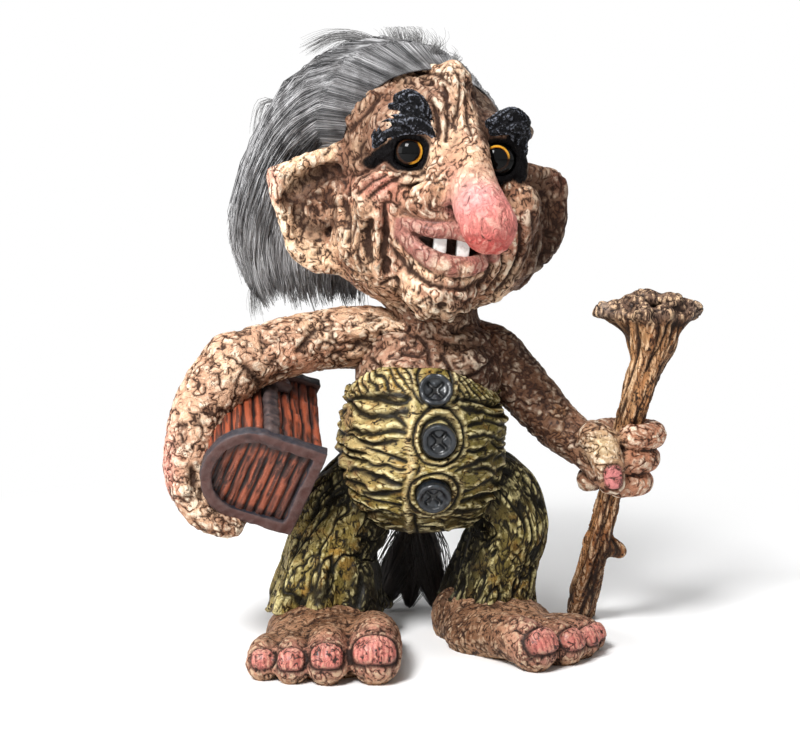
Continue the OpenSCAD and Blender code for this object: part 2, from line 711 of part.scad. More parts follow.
// Walking stick
module stick_forms(grow = 0) {
    limb([for (s = stick_path) [s[0], s[1], s[2], s[3], s[3] * 0.85]], grow, fn_form + 4);
    // Knob
    chain([[86, 9, 46, knob_r], [94, 5, 44, knob_r * 0.8]], grow);
}
module walking_stick() {
    h = crown_w / 2;
    color("peru") difference() {
        union() {
            stick_forms();
            // Roots of the crown, spread out from the neck of the stick
            chain([[110, -9, 158, 10], [crown_mid[0] - h * 0.4, -8, 166, 8],
                [crown_mid[0] - h * 0.8, -8, 170, 5.5]]);
            chain([[110, -9, 158, 11], [crown_mid[0] + h * 0.4, -6, 168, 9],
                [crown_mid[0] + h * 0.8, -4, 171, 6]]);
            chain([[110, -9, 160, 11], [crown_mid[0], -18, 167, 8], [crown_mid[0] - 6, -22, 170, 5]]);
            chain([[110, -9, 160, 11], [crown_mid[0], 6, 168, 9], [crown_mid[0] + 4, 12, 171, 6]]);
            // Knots on top
            for (k = [0:3]) {
                lump([crown_mid[0] - 16 + 11 * k, -6 + 4 * (k % 2), 172 - (k % 2)], [8, 8, 6], fn_small);
            }
        }
        translate([0, 0, -big / 2]) cube(big, center = true);
    }
}

// Tail
tail_path = [[-8, 30, 78, tail_r, tail_r], [-8, 50, 68, tail_r, tail_r],
    [-9, 58, 50, tail_r * 0.8, tail_r * 0.8],
    [-12, 56, 30, tail_r * 0.6, tail_r * 0.6], [-15, 52, 20, tail_r * 0.5, tail_r * 0.5]];
module tail() {
    color("tan") difference() {
        limb(tail_path, 0, fn_small, [1, 0, 0]);
        seat_forms(seat_gap);
    }
}
module tail_tuft() {
    color("dimgray") difference() {
        union() {
            chain([[-12, 56, 38, tuft_r * 0.8], [-16, 52, 25, tuft_r * 1.2], [-24, 46, 12, tuft_r],
                [-29, 42, 5, tuft_r * 0.6]]);
            chain([[-12, 56, 38, tuft_r * 0.8], [-10, 50, 24, tuft_r * 1.1], [-6, 45, 11, tuft_r * 0.9],
                [-3, 42, 5, tuft_r * 0.6]]);
            chain([[-12, 56, 36, tuft_r * 0.8], [-18, 56, 20, tuft_r * 1.1], [-26, 55, 11, tuft_r * 0.8],
                [-30, 54, 5, tuft_r * 0.5]]);
        }
        limb(tail_path, seat_gap, fn_small, [1, 0, 0]);
    }
}

// Treasure chest
// In its own frame the length runs along +Y from the near end and the seam under the lid is at z = 0
module chest_frame() {
    translate(chest_seam) rotate(chest_turn) children();
}
// Half of an ellipse as high as the lid
module lid_profile(w, h) {
    intersection() {
        scale([w / 2, h]) circle(1, $fn = fn_round);
        translate([-w, 0]) square([2 * w, 2 * h]);
    }
}
module lengthwise(l) {
    rotate([90, 0, 0]) translate([0, 0, -l]) linear_extrude(l) children();
}
// End view of the chest, grown by grow
module chest_profile(grow = 0) {
    translate([-chest_w / 2 - grow, -chest_h - grow]) square([chest_w + 2 * grow, chest_h + grow + 0.01]);
    lid_profile(chest_w + 2 * grow, lid_h + grow);
}
// The whole chest with its bands, grown by grow, for what fits round it
module chest_envelope(grow = 0) {
    t = band_t + grow;
    chest_frame() translate([0, -t, 0]) lengthwise(chest_l + 2 * t) chest_profile(t);
}
plank_h = chest_h / planks;
groove = 1;
// Lengths of the hasp below and above the seam, and its place along the chest
hasp_drop = 13;
hasp_rise = 4;
hasp_y = chest_l * 0.78;
// Grooves at the height z between two planks: across both ends, and along both sides at x = -w and w
module plank_grooves(z, w) {
    for (y = [0, chest_l]) {
        translate([0, y, z]) cube([2 * w, groove * 2, groove], center = true);
    }
    for (x = [-w, w]) {
        translate([x, chest_l / 2, z]) cube([groove * 2, chest_l + 2, groove], center = true);
    }
}
module chest_box() {
    color("brown") chest_frame() difference() {
        translate([-chest_w / 2, 0, -chest_h]) cube([chest_w, chest_l, chest_h - seat_gap / 2]);
        for (k = [1:planks - 1]) {
            plank_grooves(-k * plank_h, chest_w / 2);
        }
    }
}
module chest_lid() {
    color("brown") chest_frame() difference() {
        translate([0, 0, seat_gap / 2]) lengthwise(chest_l) lid_profile(chest_w, lid_h - seat_gap / 2);
        for (z = [plank_h:plank_h:lid_h - groove]) {
            plank_grooves(z, chest_w / 2 * sqrt(1 - pow(z / lid_h, 2)));
        }
    }
}
// Metal band round one end from ring_y, with a frame that stands on the end of the chest from frame_y
module end_band(ring_y, frame_y) {
    translate([0, ring_y, 0]) lengthwise(band_t + band_w) difference() {
        chest_profile(band_t);
        chest_profile(seat_gap / 2);
    }
    translate([0, frame_y, 0]) lengthwise(band_t - seat_gap / 2) difference() {
        chest_profile(band_t);
        chest_profile(-frame_w);
    }
}
module chest_bands() {
    color("dimgray") chest_frame() {
        end_band(-band_t, -band_t);
        end_band(chest_l - band_w, chest_l + seat_gap / 2);
    }
}
// Hasp over the seam, far along the front, with a round staple plate and its hole
module hasp_frame() {
    chest_frame() translate([chest_w / 2 + seat_gap / 2, hasp_y, 0]) children();
}
module hasp_space(grow = 0) {
    hasp_frame() translate([0, -hasp_w / 2 - grow, -hasp_drop - grow])
        cube([band_t * 2 + grow, hasp_w + 2 * grow, hasp_drop + hasp_rise + 2 * grow]);
}
module chest_hasp() {
    pin_z = hasp_rise - hasp_drop;
    color("dimgray") hasp_frame() difference() {
        union() {
            translate([0, -hasp_w / 2, -hasp_drop]) cube([band_t, hasp_w, hasp_drop + hasp_rise]);
            translate([0, 0, pin_z]) rotate([0, 90, 0])
                cylinder(d = hasp_w * 0.8, h = band_t * 2, $fn = fn_round);
        }
        translate([-seat_gap, 0, pin_z]) rotate([0, 90, 0])
            cylinder(d = hasp_w * 0.3, h = band_t * 4, $fn = fn_round);
    }
}

head();
eye(0);  // right_eye
eye(1);  // left_eye
brow(-1);  // right_brow
brow(1);  // left_brow
tooth(0);  // right_tooth
tooth(1);  // left_tooth
wig_skin();
hair();
trunk();
trousers_seat();
right_arm();
left_arm();
right_trouser_leg();
left_trouser_leg();
right_foot();
left_foot();
button(0);  // top_button
button(1);  // middle_button
button(2);  // bottom_button
tail();
tail_tuft();
walking_stick();
chest_box();
chest_lid();
chest_bands();
chest_hasp();
dowel(neck_joint[0], neck_joint[1]);  // neck_dowel
dowel(waist_joint[0], waist_joint[1]);  // waist_dowel
dowel(right_shoulder[0], right_shoulder[1]);  // right_shoulder_dowel
dowel(left_shoulder[0], left_shoulder[1]);  // left_shoulder_dowel
dowel(right_hip[0], right_hip[1]);  // right_hip_dowel
dowel(left_hip[0], left_hip[1]);  // left_hip_dowel
dowel(right_ankle_joint[0], right_ankle_joint[1]);  // right_ankle_dowel
dowel(left_ankle_joint[0], left_ankle_joint[1]);  // left_ankle_dowel
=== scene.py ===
"""Looks of the troll figure: carved and painted castings, glass eyes, hair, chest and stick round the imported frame.

Every form is worked out in millimetres in the frame of the CAD part, and goes into its mesh in metres.
"""

import math

import bpy
import numpy as np
from bpy.props import FloatProperty, FloatVectorProperty, IntProperty, PointerProperty
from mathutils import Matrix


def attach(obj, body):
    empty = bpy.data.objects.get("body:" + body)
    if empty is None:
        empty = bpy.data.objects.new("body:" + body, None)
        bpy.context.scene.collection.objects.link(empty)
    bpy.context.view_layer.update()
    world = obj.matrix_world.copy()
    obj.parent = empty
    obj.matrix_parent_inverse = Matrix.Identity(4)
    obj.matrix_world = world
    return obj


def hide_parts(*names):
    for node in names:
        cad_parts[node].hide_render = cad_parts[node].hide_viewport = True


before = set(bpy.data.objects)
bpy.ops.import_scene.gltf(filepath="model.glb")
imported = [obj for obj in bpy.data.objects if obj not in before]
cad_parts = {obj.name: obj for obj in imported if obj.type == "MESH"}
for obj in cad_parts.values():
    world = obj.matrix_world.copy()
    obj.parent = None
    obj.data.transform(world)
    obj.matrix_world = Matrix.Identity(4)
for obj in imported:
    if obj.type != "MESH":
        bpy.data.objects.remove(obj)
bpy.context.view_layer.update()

bl_info = {
    "name": "Troll Figure",
    "version": (1, 0, 0),
    "blender": (4, 5, 0),
    "location": "3D View > Sidebar > Troll",
    "description": "Carved and painted troll figure with hair, chest and walking stick",
    "category": "Object",
}

MM = 0.001
ROOT = "root"


# Numbers and colours

def paint(r, g, b):
    """Linear colour of a paint in screen values 0 to 255: c / 12.92 under 0.04045, else ((c + 0.055) / 1.055)^2.4."""
    c = np.array([r, g, b], float) / 255
    return np.where(c <= 0.04045, c / 12.92, ((c + 0.055) / 1.055) ** 2.4)


def smoothstep(value, low, high):
    """0 below low and 1 above high, with the curve 3t^2 - 2t^3 between them; low may lie above high."""
    t = np.clip((value - low) / (high - low), 0, 1)
    return t * t * (3 - 2 * t)


def coats(colour, *layers):
    """Colour under coats of paint, each a mask m from 0 to 1 and a paint in screen values: colour (1 - m) + paint m."""
    for mask, screen in layers:
        m = np.clip(mask, 0, 1)[..., None]
        colour = colour * (1 - m) + paint(*screen) * m
    return colour


def noise(p, size, seed=0):
    """Smooth noise from -1 to 1: random values on a lattice size apart, blended by 3t^2 - 2t^3 along each axis."""
    q = np.asarray(p, float) / size + 37.7 + seed * 11.3
    base = np.floor(q).astype(np.int64)
    f = q - base
    f = f * f * (3 - 2 * f)
    total = np.zeros(len(q))
    for corner in range(8):
        d = np.array([corner & 1, corner >> 1 & 1, corner >> 2 & 1])
        k = base + d
        h = (k[:, 0] * 73856093) ^ (k[:, 1] * 19349663) ^ (k[:, 2] * 83492791) ^ (seed * 2654435761)
        h = (h ^ (h >> 13)) * 1274126177 & 0xFFFFFFFF
        h = (h ^ (h >> 16)) & 0xFFFF
        w = np.prod(np.where(d, f, 1 - f), axis=1)
        total += w * (h / 32767.5 - 1)
    return total


def layered(p, size, seed=0, layers=3):
    """Noise with finer and weaker layers on it: each layer has half the size and half the height."""
    return sum(noise(p, size / 2 ** k, seed + k) / 2 ** k for k in range(layers))


def carved_lines(p, size, seed, width=0.12):
    """Narrow lines, 1 on a line and 0 off it: a bell curve round the zero level of a noise."""
    n = noise(p, size, seed) + 0.35 * noise(p, size * 0.4, seed + 5)
    return np.exp(-(n / width) ** 2)


def cubic(a, b, c, d, t):
    """The cubic from b at t = 0 to c at t = 1 that has the slopes (c - a) / 2 and (d - b) / 2 there."""
    return (2 * b + (c - a) * t + (2 * a - 5 * b + 4 * c - d) * t ** 2 + (3 * b - a - 3 * c + d) * t ** 3) / 2


def smooth_path(points, per=5):
    """A curve of cubics through all points, with per steps from each to the next."""
    p = np.asarray(points, float)
    padded = np.vstack([p[:1], p, p[-1:]])
    t = np.linspace(0, 1, per, endpoint=False)[:, None]
    spans = [cubic(a, b, c, d, t) for a, b, c, d in zip(padded[:-3], padded[1:-2], padded[2:-1], padded[3:])]
    return np.vstack(spans + [p[-1:]])


def unit(v):
    """Vectors scaled to a length of 1."""
    v = np.asarray(v, float)
    return v / np.maximum(np.linalg.norm(v, axis=-1, keepdims=True), 1e-9)


def turn(axis, degrees):
    """Matrix that turns by degrees about the axis 0, 1 or 2."""
    a = math.radians(degrees)
    m = np.eye(3)
    i, j = (axis + 1) % 3, (axis + 2) % 3
    m[i, i] = m[j, j] = math.cos(a)
    m[i, j], m[j, i] = -math.sin(a), math.sin(a)
    return m


def near_line(p, line):
    """Distance from every point p to a bent line, the least over its straight spans, in as many dimensions as given."""
    best = np.full(len(p), 1e6)
    line = np.asarray(line, float)
    for a, b in zip(line[:-1], line[1:]):
        d = b - a
        t = np.clip(((p - a) @ d) / (d @ d), 0, 1)
        best = np.minimum(best, np.linalg.norm(p - a - t[:, None] * d, axis=1))
    return best


def creases(p, lines, width, per=4):
    """Mark of creases along lines, exp(-(distance / width)^2), with per steps between the points of a line."""
    mark = np.zeros(len(p))
    for line, w in zip(lines, np.broadcast_to(width, len(lines))):
        mark = np.maximum(mark, np.exp(-(near_line(p, smooth_path(line, per)) / w) ** 2))
    return mark


def blob(p, mid, size):
    """Soft spot: exp(-q^2) with q the distance from mid in shares of size along each axis."""
    q = (np.asarray(p) - np.asarray(mid, float)) / np.asarray(size, float)
    return np.exp(-(q ** 2).sum(axis=1))


# Solids as distance fields

class Form:
    """A form: its box, and the distance from its surface as a function of x, y and z, below zero inside."""

    def __init__(self, low, high, distance):
        self.low, self.high, self.distance = np.asarray(low, float), np.asarray(high, float), distance


def ball(mid, radii, turned=None):
    """Stretched ball. With k the length of p / r and m that of p / r^2, the distance is k (k - 1) / m."""
    mid = np.asarray(mid, float)
    r = np.broadcast_to(np.asarray(radii, float), 3)
    reach = r if turned is None else np.full(3, r.max())

    def distance(x, y, z):
        q = [x - mid[0], y - mid[1], z - mid[2]]
        if turned is not None:
            q = [q[0] * turned[0, k] + q[1] * turned[1, k] + q[2] * turned[2, k] for k in range(3)]
        k0 = np.sqrt(sum((q[k] / r[k]) ** 2 for k in range(3))) + 1e-6
        k1 = np.sqrt(sum((q[k] / r[k] ** 2) ** 2 for k in range(3))) + 1e-6
        return k0 * (k0 - 1) / k1

    return Form(mid - reach, mid + reach, distance)


def limb(points, per=5, flat=None):
    """Bar along a smooth path of x, y, z, radius: the least over its spans of the distance to the span less its radius.
    With flat, an axis and a share, the limb is squeezed to that share along the axis."""
    s = smooth_path(points, per)
    mid = s[:, :3].mean(axis=0)

    def distance(x, y, z):
        p = [x, y, z]
        q = s.copy()
        if flat is not None:
            axis, share = flat
            p[axis] = mid[axis] + (p[axis] - mid[axis]) / share
            q[:, axis] = mid[axis] + (q[:, axis] - mid[axis]) / share
        best = None
        for a, b in zip(q[:-1], q[1:]):
            d = b[:3] - a[:3]
            t = ((p[0] - a[0]) * d[0] + (p[1] - a[1]) * d[1] + (p[2] - a[2]) * d[2]) / max(d @ d, 1e-6)
            t = np.clip(t, 0, 1)
            e = np.sqrt(sum((p[k] - a[k] - t * d[k]) ** 2 for k in range(3))) - a[3] - t * (b[3] - a[3])
            best = e if best is None else np.minimum(best, e)
        return best

    r = s[:, 3].max()
    return Form(s[:, :3].min(axis=0) - r, s[:, :3].max(axis=0) + r, distance)


def flap(outline, tilt, thick):
    """A leaf of skin with the outline of x, z and its middle at y = tilt . (1, x). With e the distance past the outline
    and f that off the leaf, both drawn in by the rounding r, the distance is |(e, f) above 0| + max(e, f) under 0,
    less r."""
    line = smooth_path(np.vstack([outline, outline[:1]]), 3)
    r = thick * 0.45

    def distance(x, y, z):
        u, w = np.broadcast_arrays(x[:, 0, :], z[:, 0, :])
        gap, inside = np.full(u.shape, 1e3), np.zeros(u.shape, bool)
        for (ax, az), (bx, bz) in zip(line[:-1], line[1:]):
            dx, dz = bx - ax, bz - az
            t = np.clip(((u - ax) * dx + (w - az) * dz) / (dx * dx + dz * dz + 1e-9), 0, 1)
            gap = np.minimum(gap, np.hypot(u - ax - t * dx, w - az - t * dz))
            inside ^= ((az > w) != (bz > w)) & (u < ax + (w - az) * dx / (dz if abs(dz) > 1e-9 else 1e-9))
        e = np.where(inside, -gap, gap)[:, None, :] + r
        f = np.abs(y - tilt[0] - tilt[1] * x) - thick / 2 + r
        return np.hypot(np.maximum(e, 0), np.maximum(f, 0)) + np.minimum(np.maximum(e, f), 0) - r

    ys = tilt[0] + tilt[1] * line[:, 0]
    return Form((line[:, 0].min(), ys.min() - thick, line[:, 1].min()),
                (line[:, 0].max(), ys.max() + thick, line[:, 1].max()), distance)


class Block:
    """A solid built up on a regular grid of distances, from which its skin is taken."""

    def __init__(self, low, high, step):
        self.low, self.step = np.asarray(low, float), step
        self.count = np.ceil((np.asarray(high, float) - self.low) / step).astype(int) + 1
        self.d = np.full(self.count, 30.0, np.float32)

    def window(self, form, room):
        """The slices of the grid that a form's box and some room round it cover, and the places there."""
        first = np.clip(np.floor((form.low - room - self.low) / self.step).astype(int), 0, self.count - 1)
        last = np.clip(np.ceil((form.high + room - self.low) / self.step).astype(int) + 1, first + 1, self.count)
        axes = [(self.low[k] + self.step * np.arange(first[k], last[k])).astype(np.float32) for k in range(3)]
        where = tuple(slice(a, b) for a, b in zip(first, last))
        return where, (axes[0][:, None, None], axes[1][None, :, None], axes[2][None, None, :])

    def join(self, form, soft=3.0):
        """Adds a form. Where both distances a and b are close, min(a, b) - h^2 soft / 4 with h = 1 - |a - b| / soft
        fills the corner between them."""
        where, xyz = self.window(form, soft + 2 * self.step)
        a, b = self.d[where], form.distance(*xyz)
        h = np.clip(1 - np.abs(a - b) / soft, 0, 1)
        self.d[where] = np.minimum(a, b) - h * h * soft / 4

    def carve(self, form, soft=1.5):
        """Takes a form away, with the edge rounded in the same way: max(a, -b) + h^2 soft / 4."""
        where, xyz = self.window(form, soft + 2 * self.step)
        a, b = self.d[where], -form.distance(*xyz)
        h = np.clip(1 - np.abs(a - b) / soft, 0, 1)
        self.d[where] = np.maximum(a, b) + h * h * soft / 4

    def keep_above(self, z):
        """Cuts the solid off flat at the height z."""
        level = (self.low[2] + self.step * np.arange(self.count[2])).astype(np.float32)
        self.d = np.maximum(self.d, (z - level)[None, None, :])

    def front(self, x, z):
        """The y of the skin that is met first from the front at each x and z, or where that line passes nearest."""
        x, z = np.atleast_1d(x), np.atleast_1d(z)
        i = np.clip(((x - self.low[0]) / self.step).round().astype(int), 0, self.count[0] - 1)
        k = np.clip(((z - self.low[2]) / self.step).round().astype(int), 0, self.count[2] - 1)
        column = self.d[i, :, k]
        met = np.where((column < 0).any(axis=1), np.argmax(column < 0, axis=1), np.argmin(column, axis=1))
        return self.low[1] + self.step * met

    def on_front(self, line, radius, sunk):
        """A line of x, z laid on the front of the solid, its middle sunk by a share of the radius."""
        line = np.asarray(line, float)
        y = self.front(line[:, 0], line[:, 1])
        r = np.broadcast_to(np.asarray(radius, float), len(line))
        return np.column_stack([line[:, 0], y + r * sunk, line[:, 1], r])

    def skin(self):
        """The surface where the distance is zero. Each cell that it crosses gets one point, the mean of the crossings
        on the cell's edges, and each edge of the grid that it crosses gets the face between its four cells."""
        d = self.d
        d[[0, -1]] = d[:, [0, -1]] = d[:, :, [0, -1]] = 5.0
        inside = d < 0
        corners = [(a, b, c) for a in (0, 1) for b in (0, 1) for c in (0, 1)]
        end = [n - 1 for n in d.shape]
        total = sum(inside[a:end[0] + a, b:end[1] + b, c:end[2] + c].astype(np.uint8) for a, b, c in corners)
        cell = (total > 0) & (total < 8)
        index = np.full(cell.shape, -1, np.int32)
        i, j, k = np.nonzero(cell)
        index[i, j, k] = np.arange(len(i))
        place, found = np.zeros((len(i), 3)), np.zeros(len(i))
        for axis in range(3):
            for corner in [c for c in corners if c[axis] == 0]:
                other = list(corner)
                other[axis] = 1
                da = d[i + corner[0], j + corner[1], k + corner[2]]
                db = d[i + other[0], j + other[1], k + other[2]]
                hit = (da < 0) != (db < 0)
                t = np.where(hit, da / np.where(hit, da - db, 1), 0)
                point = np.tile(np.array(corner, float), (len(i), 1))
                point[:, axis] += t
                place[hit] += point[hit]
                found += hit
        points = (np.column_stack([i, j, k]) + place / found[:, None]) * self.step + self.low
        faces = []
        for axis in range(3):
            u, v = (axis + 1) % 3, (axis + 2) % 3
            near = [slice(1, -1)] * 3
            far = [slice(1, -1)] * 3
            near[axis], far[axis] = slice(0, -1), slice(1, None)
            a, b = inside[tuple(near)], inside[tuple(far)]
            edge = np.column_stack(np.nonzero(a != b))
            leaving = a[tuple(edge.T)]
            edge[:, u] += 1
            edge[:, v] += 1
            around = []
            for du, dv in ((-1, -1), (0, -1), (0, 0), (-1, 0)):
                c = edge.copy()
                c[:, u] += du
                c[:, v] += dv
                around.append(index[tuple(c.T)])
            quad = np.column_stack(around)
            quad[~leaving] = quad[~leaving][:, ::-1]
            faces.append(quad)
        return points, np.vstack(faces)


# Surfaces

def face_normals(points, faces):
    """Upright of every face: the cross product of its two diagonals, or of two sides of a triangle."""
    if faces.shape[1] == 4:
        return np.cross(points[faces[:, 2]] - points[faces[:, 0]], points[faces[:, 3]] - points[faces[:, 1]])
    return np.cross(points[faces[:, 1]] - points[faces[:, 0]], points[faces[:, 2]] - points[faces[:, 0]])


def normals(points, groups):
    """Upright of every point: the sum of its faces' uprights, scaled to 1."""
    total = np.zeros((len(points), 3))
    for faces in groups:
        n = face_normals(points, faces)
        for corner in faces.T:
            for k in range(3):
                total[:, k] += np.bincount(corner, n[:, k], len(points))
    return unit(total)


def relaxed(values, faces, times):
    """Each value replaced by the mean of its neighbours' along the faces' sides, over and over."""
    a = np.concatenate([faces[:, k] for k in range(faces.shape[1])])
    b = np.concatenate([np.roll(faces, -1, axis=1)[:, k] for k in range(faces.shape[1])])
    a, b = np.concatenate([a, b]), np.concatenate([b, a])
    count = np.maximum(np.bincount(a, minlength=len(values)), 1)
    values = np.array(values, float)
    for _ in range(times):
        columns = values.reshape(len(values), -1)
        mean = np.column_stack([np.bincount(a, columns[b, k], len(values)) / count for k in range(columns.shape[1])])
        values = mean.reshape(values.shape)
    return values


def hollows(points, n, faces, times):
    """How far each point lies under the smoothed surface: above zero in a hollow, below zero on a ridge."""
    return ((relaxed(points, faces, times) - points) * n).sum(axis=1)


def grid_faces(rows, columns, start=0):
    """Quads of a grid whose columns close on themselves."""
    i, j = np.meshgrid(np.arange(rows - 1), np.arange(columns), indexing="ij")
    a, b = i * columns + j, i * columns + (j + 1) % columns
    return np.stack([a, b, b + columns, a + columns], axis=-1).reshape(-1, 4) + start


def closed_rings(rings):
    """Rings of points joined into one skin, with a point at the middle of the first and last ring closing the ends."""
    rows, columns = rings.shape[:2]
    points = np.vstack([rings.reshape(-1, 3), rings[0].mean(axis=0), rings[-1].mean(axis=0)])
    side = grid_faces(rows, columns)
    k = np.arange(columns)
    first = np.column_stack([(k + 1) % columns, k, np.full(columns, rows * columns)])
    last = (rows - 1) * columns
    second = np.column_stack([last + k, last + (k + 1) % columns, np.full(columns, rows * columns + 1)])
    groups = [side, first, second]
    if volume(points, groups) < 0:
        groups = [g[:, ::-1] for g in groups]
    return points, groups


def volume(points, groups):
    """Six times the signed volume inside the faces, each face split into triangles from its first corner."""
    total = 0.0
    for f in groups:
        for k in range(1, f.shape[1] - 1):
            a, b, c = points[f[:, 0]], points[f[:, k]], points[f[:, k + 1]]
            total += (np.cross(a, b) * c).sum()
    return total


def square_to(path, lean):
    """Two directions square to a path at each of its points, for rings round it: cross products with a fixed lean."""
    d = unit(np.gradient(path[:, :3], axis=0))
    side = unit(np.cross(d, np.asarray(lean, float)))
    return side, np.cross(side, d)


def build(name, points, groups, material, attributes=()):
    """Puts points in millimetres and groups of equal-sided faces into a mesh object at the origin. An attribute is a
    number, or a number or colour for each point."""
    mesh = bpy.data.meshes.new(name)
    mesh.vertices.add(len(points))
    mesh.vertices.foreach_set("co", (np.asarray(points) * MM).astype(np.float32).ravel())
    sizes = np.concatenate([np.full(len(g), g.shape[1]) for g in groups])
    loops = np.concatenate([g.ravel() for g in groups]).astype(np.int32)
    mesh.loops.add(len(loops))
    mesh.loops.foreach_set("vertex_index", loops)
    mesh.polygons.add(len(sizes))
    mesh.polygons.foreach_set("loop_start", np.concatenate([[0], np.cumsum(sizes)[:-1]]).astype(np.int32))
    mesh.polygons.foreach_set("use_smooth", np.full(len(sizes), True))
    mesh.update(calc_edges=True)
    for key, values in dict(attributes).items():
        values = np.asarray(values if np.ndim(values) else np.full(len(points), values))
        if values.ndim == 2:
            rgba = np.column_stack([values, np.ones(len(values))])
            mesh.attributes.new(key, "FLOAT_COLOR", "POINT").data.foreach_set("color", rgba.astype(np.float32).ravel())
        else:
            mesh.attributes.new(key, "FLOAT", "POINT").data.foreach_set("value", values.astype(np.float32))
    mesh.materials.append(material)
    piece = bpy.data.objects.new(name, mesh)
    bpy.context.scene.collection.objects.link(piece)
    return piece


def seat(piece, slot, *nodes):
    """Fixes a piece to the figure and hides the CAD nodes that it stands for. The slot, the name of its finish, is not
    used.
    """
    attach(piece, ROOT)
    if nodes:
        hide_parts(*nodes)
    return piece


# Materials

class Value:
    """One socket of a material. Adding, multiplying and so on add the Math node that does it."""

    def __init__(self, shader, socket):
        self.shader, self.socket = shader, socket

    def maths(self, operation, *others):
        node = self.shader.node("ShaderNodeMath", {"operation": operation}, dict(enumerate((self,) + others)))
        return Value(self.shader, node.outputs[0])

    def __add__(self, other):
        return self.maths("ADD", other)

    __radd__ = __add__

    def __mul__(self, other):
        return self.maths("MULTIPLY", other)

    __rmul__ = __mul__

    def __sub__(self, other):
        return self.maths("SUBTRACT", other)

    def __rsub__(self, other):
        return (self * -1) + other

    def above(self, low, high):
        """0 below low and 1 above high, smooth between them; low may lie above high."""
        flip = low > high
        node = self.shader.node("ShaderNodeMapRange", {"interpolation_type": "SMOOTHSTEP"},
                                {0: self, 1: min(low, high), 2: max(low, high), 3: 1.0 if flip else 0.0,
                                 4: 0.0 if flip else 1.0})
        return Value(self.shader, node.outputs[0])


class Nodes:
    """An emptied tree of nodes, to which nodes are added."""

    def __init__(self, tree):
        self.tree = tree
        self.tree.nodes.clear()

    def node(self, kind, settings=None, sockets=None):
        """Adds a node, sets its settings, and then its sockets to numbers or links."""
        node = self.tree.nodes.new(kind)
        for key, value in (settings or {}).items():
            setattr(node, key, value)
        for key, value in (sockets or {}).items():
            socket = node.inputs[key]
            if isinstance(value, Value):
                self.tree.links.new(value.socket, socket)
            elif hasattr(socket.default_value, "__len__") and len(socket.default_value) == 4:
                socket.default_value = (*[float(v) for v in value][:3], 1.0)
            else:
                socket.default_value = value
        return node


class Shader(Nodes):
    """Builds the nodes of one material round a Principled shader."""

    def __init__(self, name, **constants):
        self.material = bpy.data.materials.new(name)
        self.material.use_nodes = True
        super().__init__(self.material.node_tree)
        self.surface = self.node("ShaderNodeBsdfPrincipled", {}, constants)
        self.output = self.node("ShaderNodeOutputMaterial", {}, {"Surface": Value(self, self.surface.outputs[0])})

    def feed(self, **links):
        """Links values to the Principled shader's sockets; an underscore in a key stands for a space."""
        for key, value in links.items():
            self.tree.links.new(value.socket, self.surface.inputs[key.replace("_", " ")])

    def attribute(self, key, colour=False):
        node = self.node("ShaderNodeAttribute", {"attribute_name": key})
        return Value(self, node.outputs["Color" if colour else "Fac"])

    def places(self, stretch=(1, 1, 1), angle=(0, 0, 0)):
        """Object coordinates in millimetres, stretched and turned."""
        coords = self.node("ShaderNodeTexCoord")
        node = self.node("ShaderNodeMapping", {}, {0: Value(self, coords.outputs["Object"]),
                                                   2: [math.radians(a) for a in angle],
                                                   3: [1000 * s for s in stretch]})
        return Value(self, node.outputs[0])

    def noise(self, at, size, detail=2.0, rough=0.5, warp=0.0):
        node = self.node("ShaderNodeTexNoise", {}, {"Vector": at, "Scale": 1.0 / size, "Detail": detail,
                                                    "Roughness": rough, "Distortion": warp})
        return Value(self, node.outputs[0])

    def warped(self, at, size, amount):
        """Places pushed about by a noise, so that a pattern on them runs unevenly."""
        push = self.node("ShaderNodeTexNoise", {}, {"Vector": at, "Scale": 1.0 / size, "Detail": 2.0})
        middle = self.node("ShaderNodeVectorMath", {"operation": "SUBTRACT"},
                           {0: Value(self, push.outputs["Color"]), 1: (0.5, 0.5, 0.5)})
        scaled = self.node("ShaderNodeVectorMath", {"operation": "SCALE"},
                           {0: Value(self, middle.outputs[0]), "Scale": amount})
        moved = self.node("ShaderNodeVectorMath", {"operation": "ADD"}, {0: at, 1: Value(self, scaled.outputs[0])})
        return Value(self, moved.outputs[0])

    def blend(self, factor, a, b, mode="MIX"):
        """Colour between a and b by the factor."""
        node = self.node("ShaderNodeMix", {"data_type": "RGBA", "blend_type": mode, "clamp_factor": True},
                         {0: factor, 6: a, 7: b})
        return Value(self, node.outputs[2])

    def bump(self, height, strength, distance):
        """Bumps of a height between 0 and 1, distance millimetres deep."""
        node = self.node("ShaderNodeBump", {}, {"Height": height, "Strength": strength, "Distance": distance * MM})
        return Value(self, node.outputs[0])


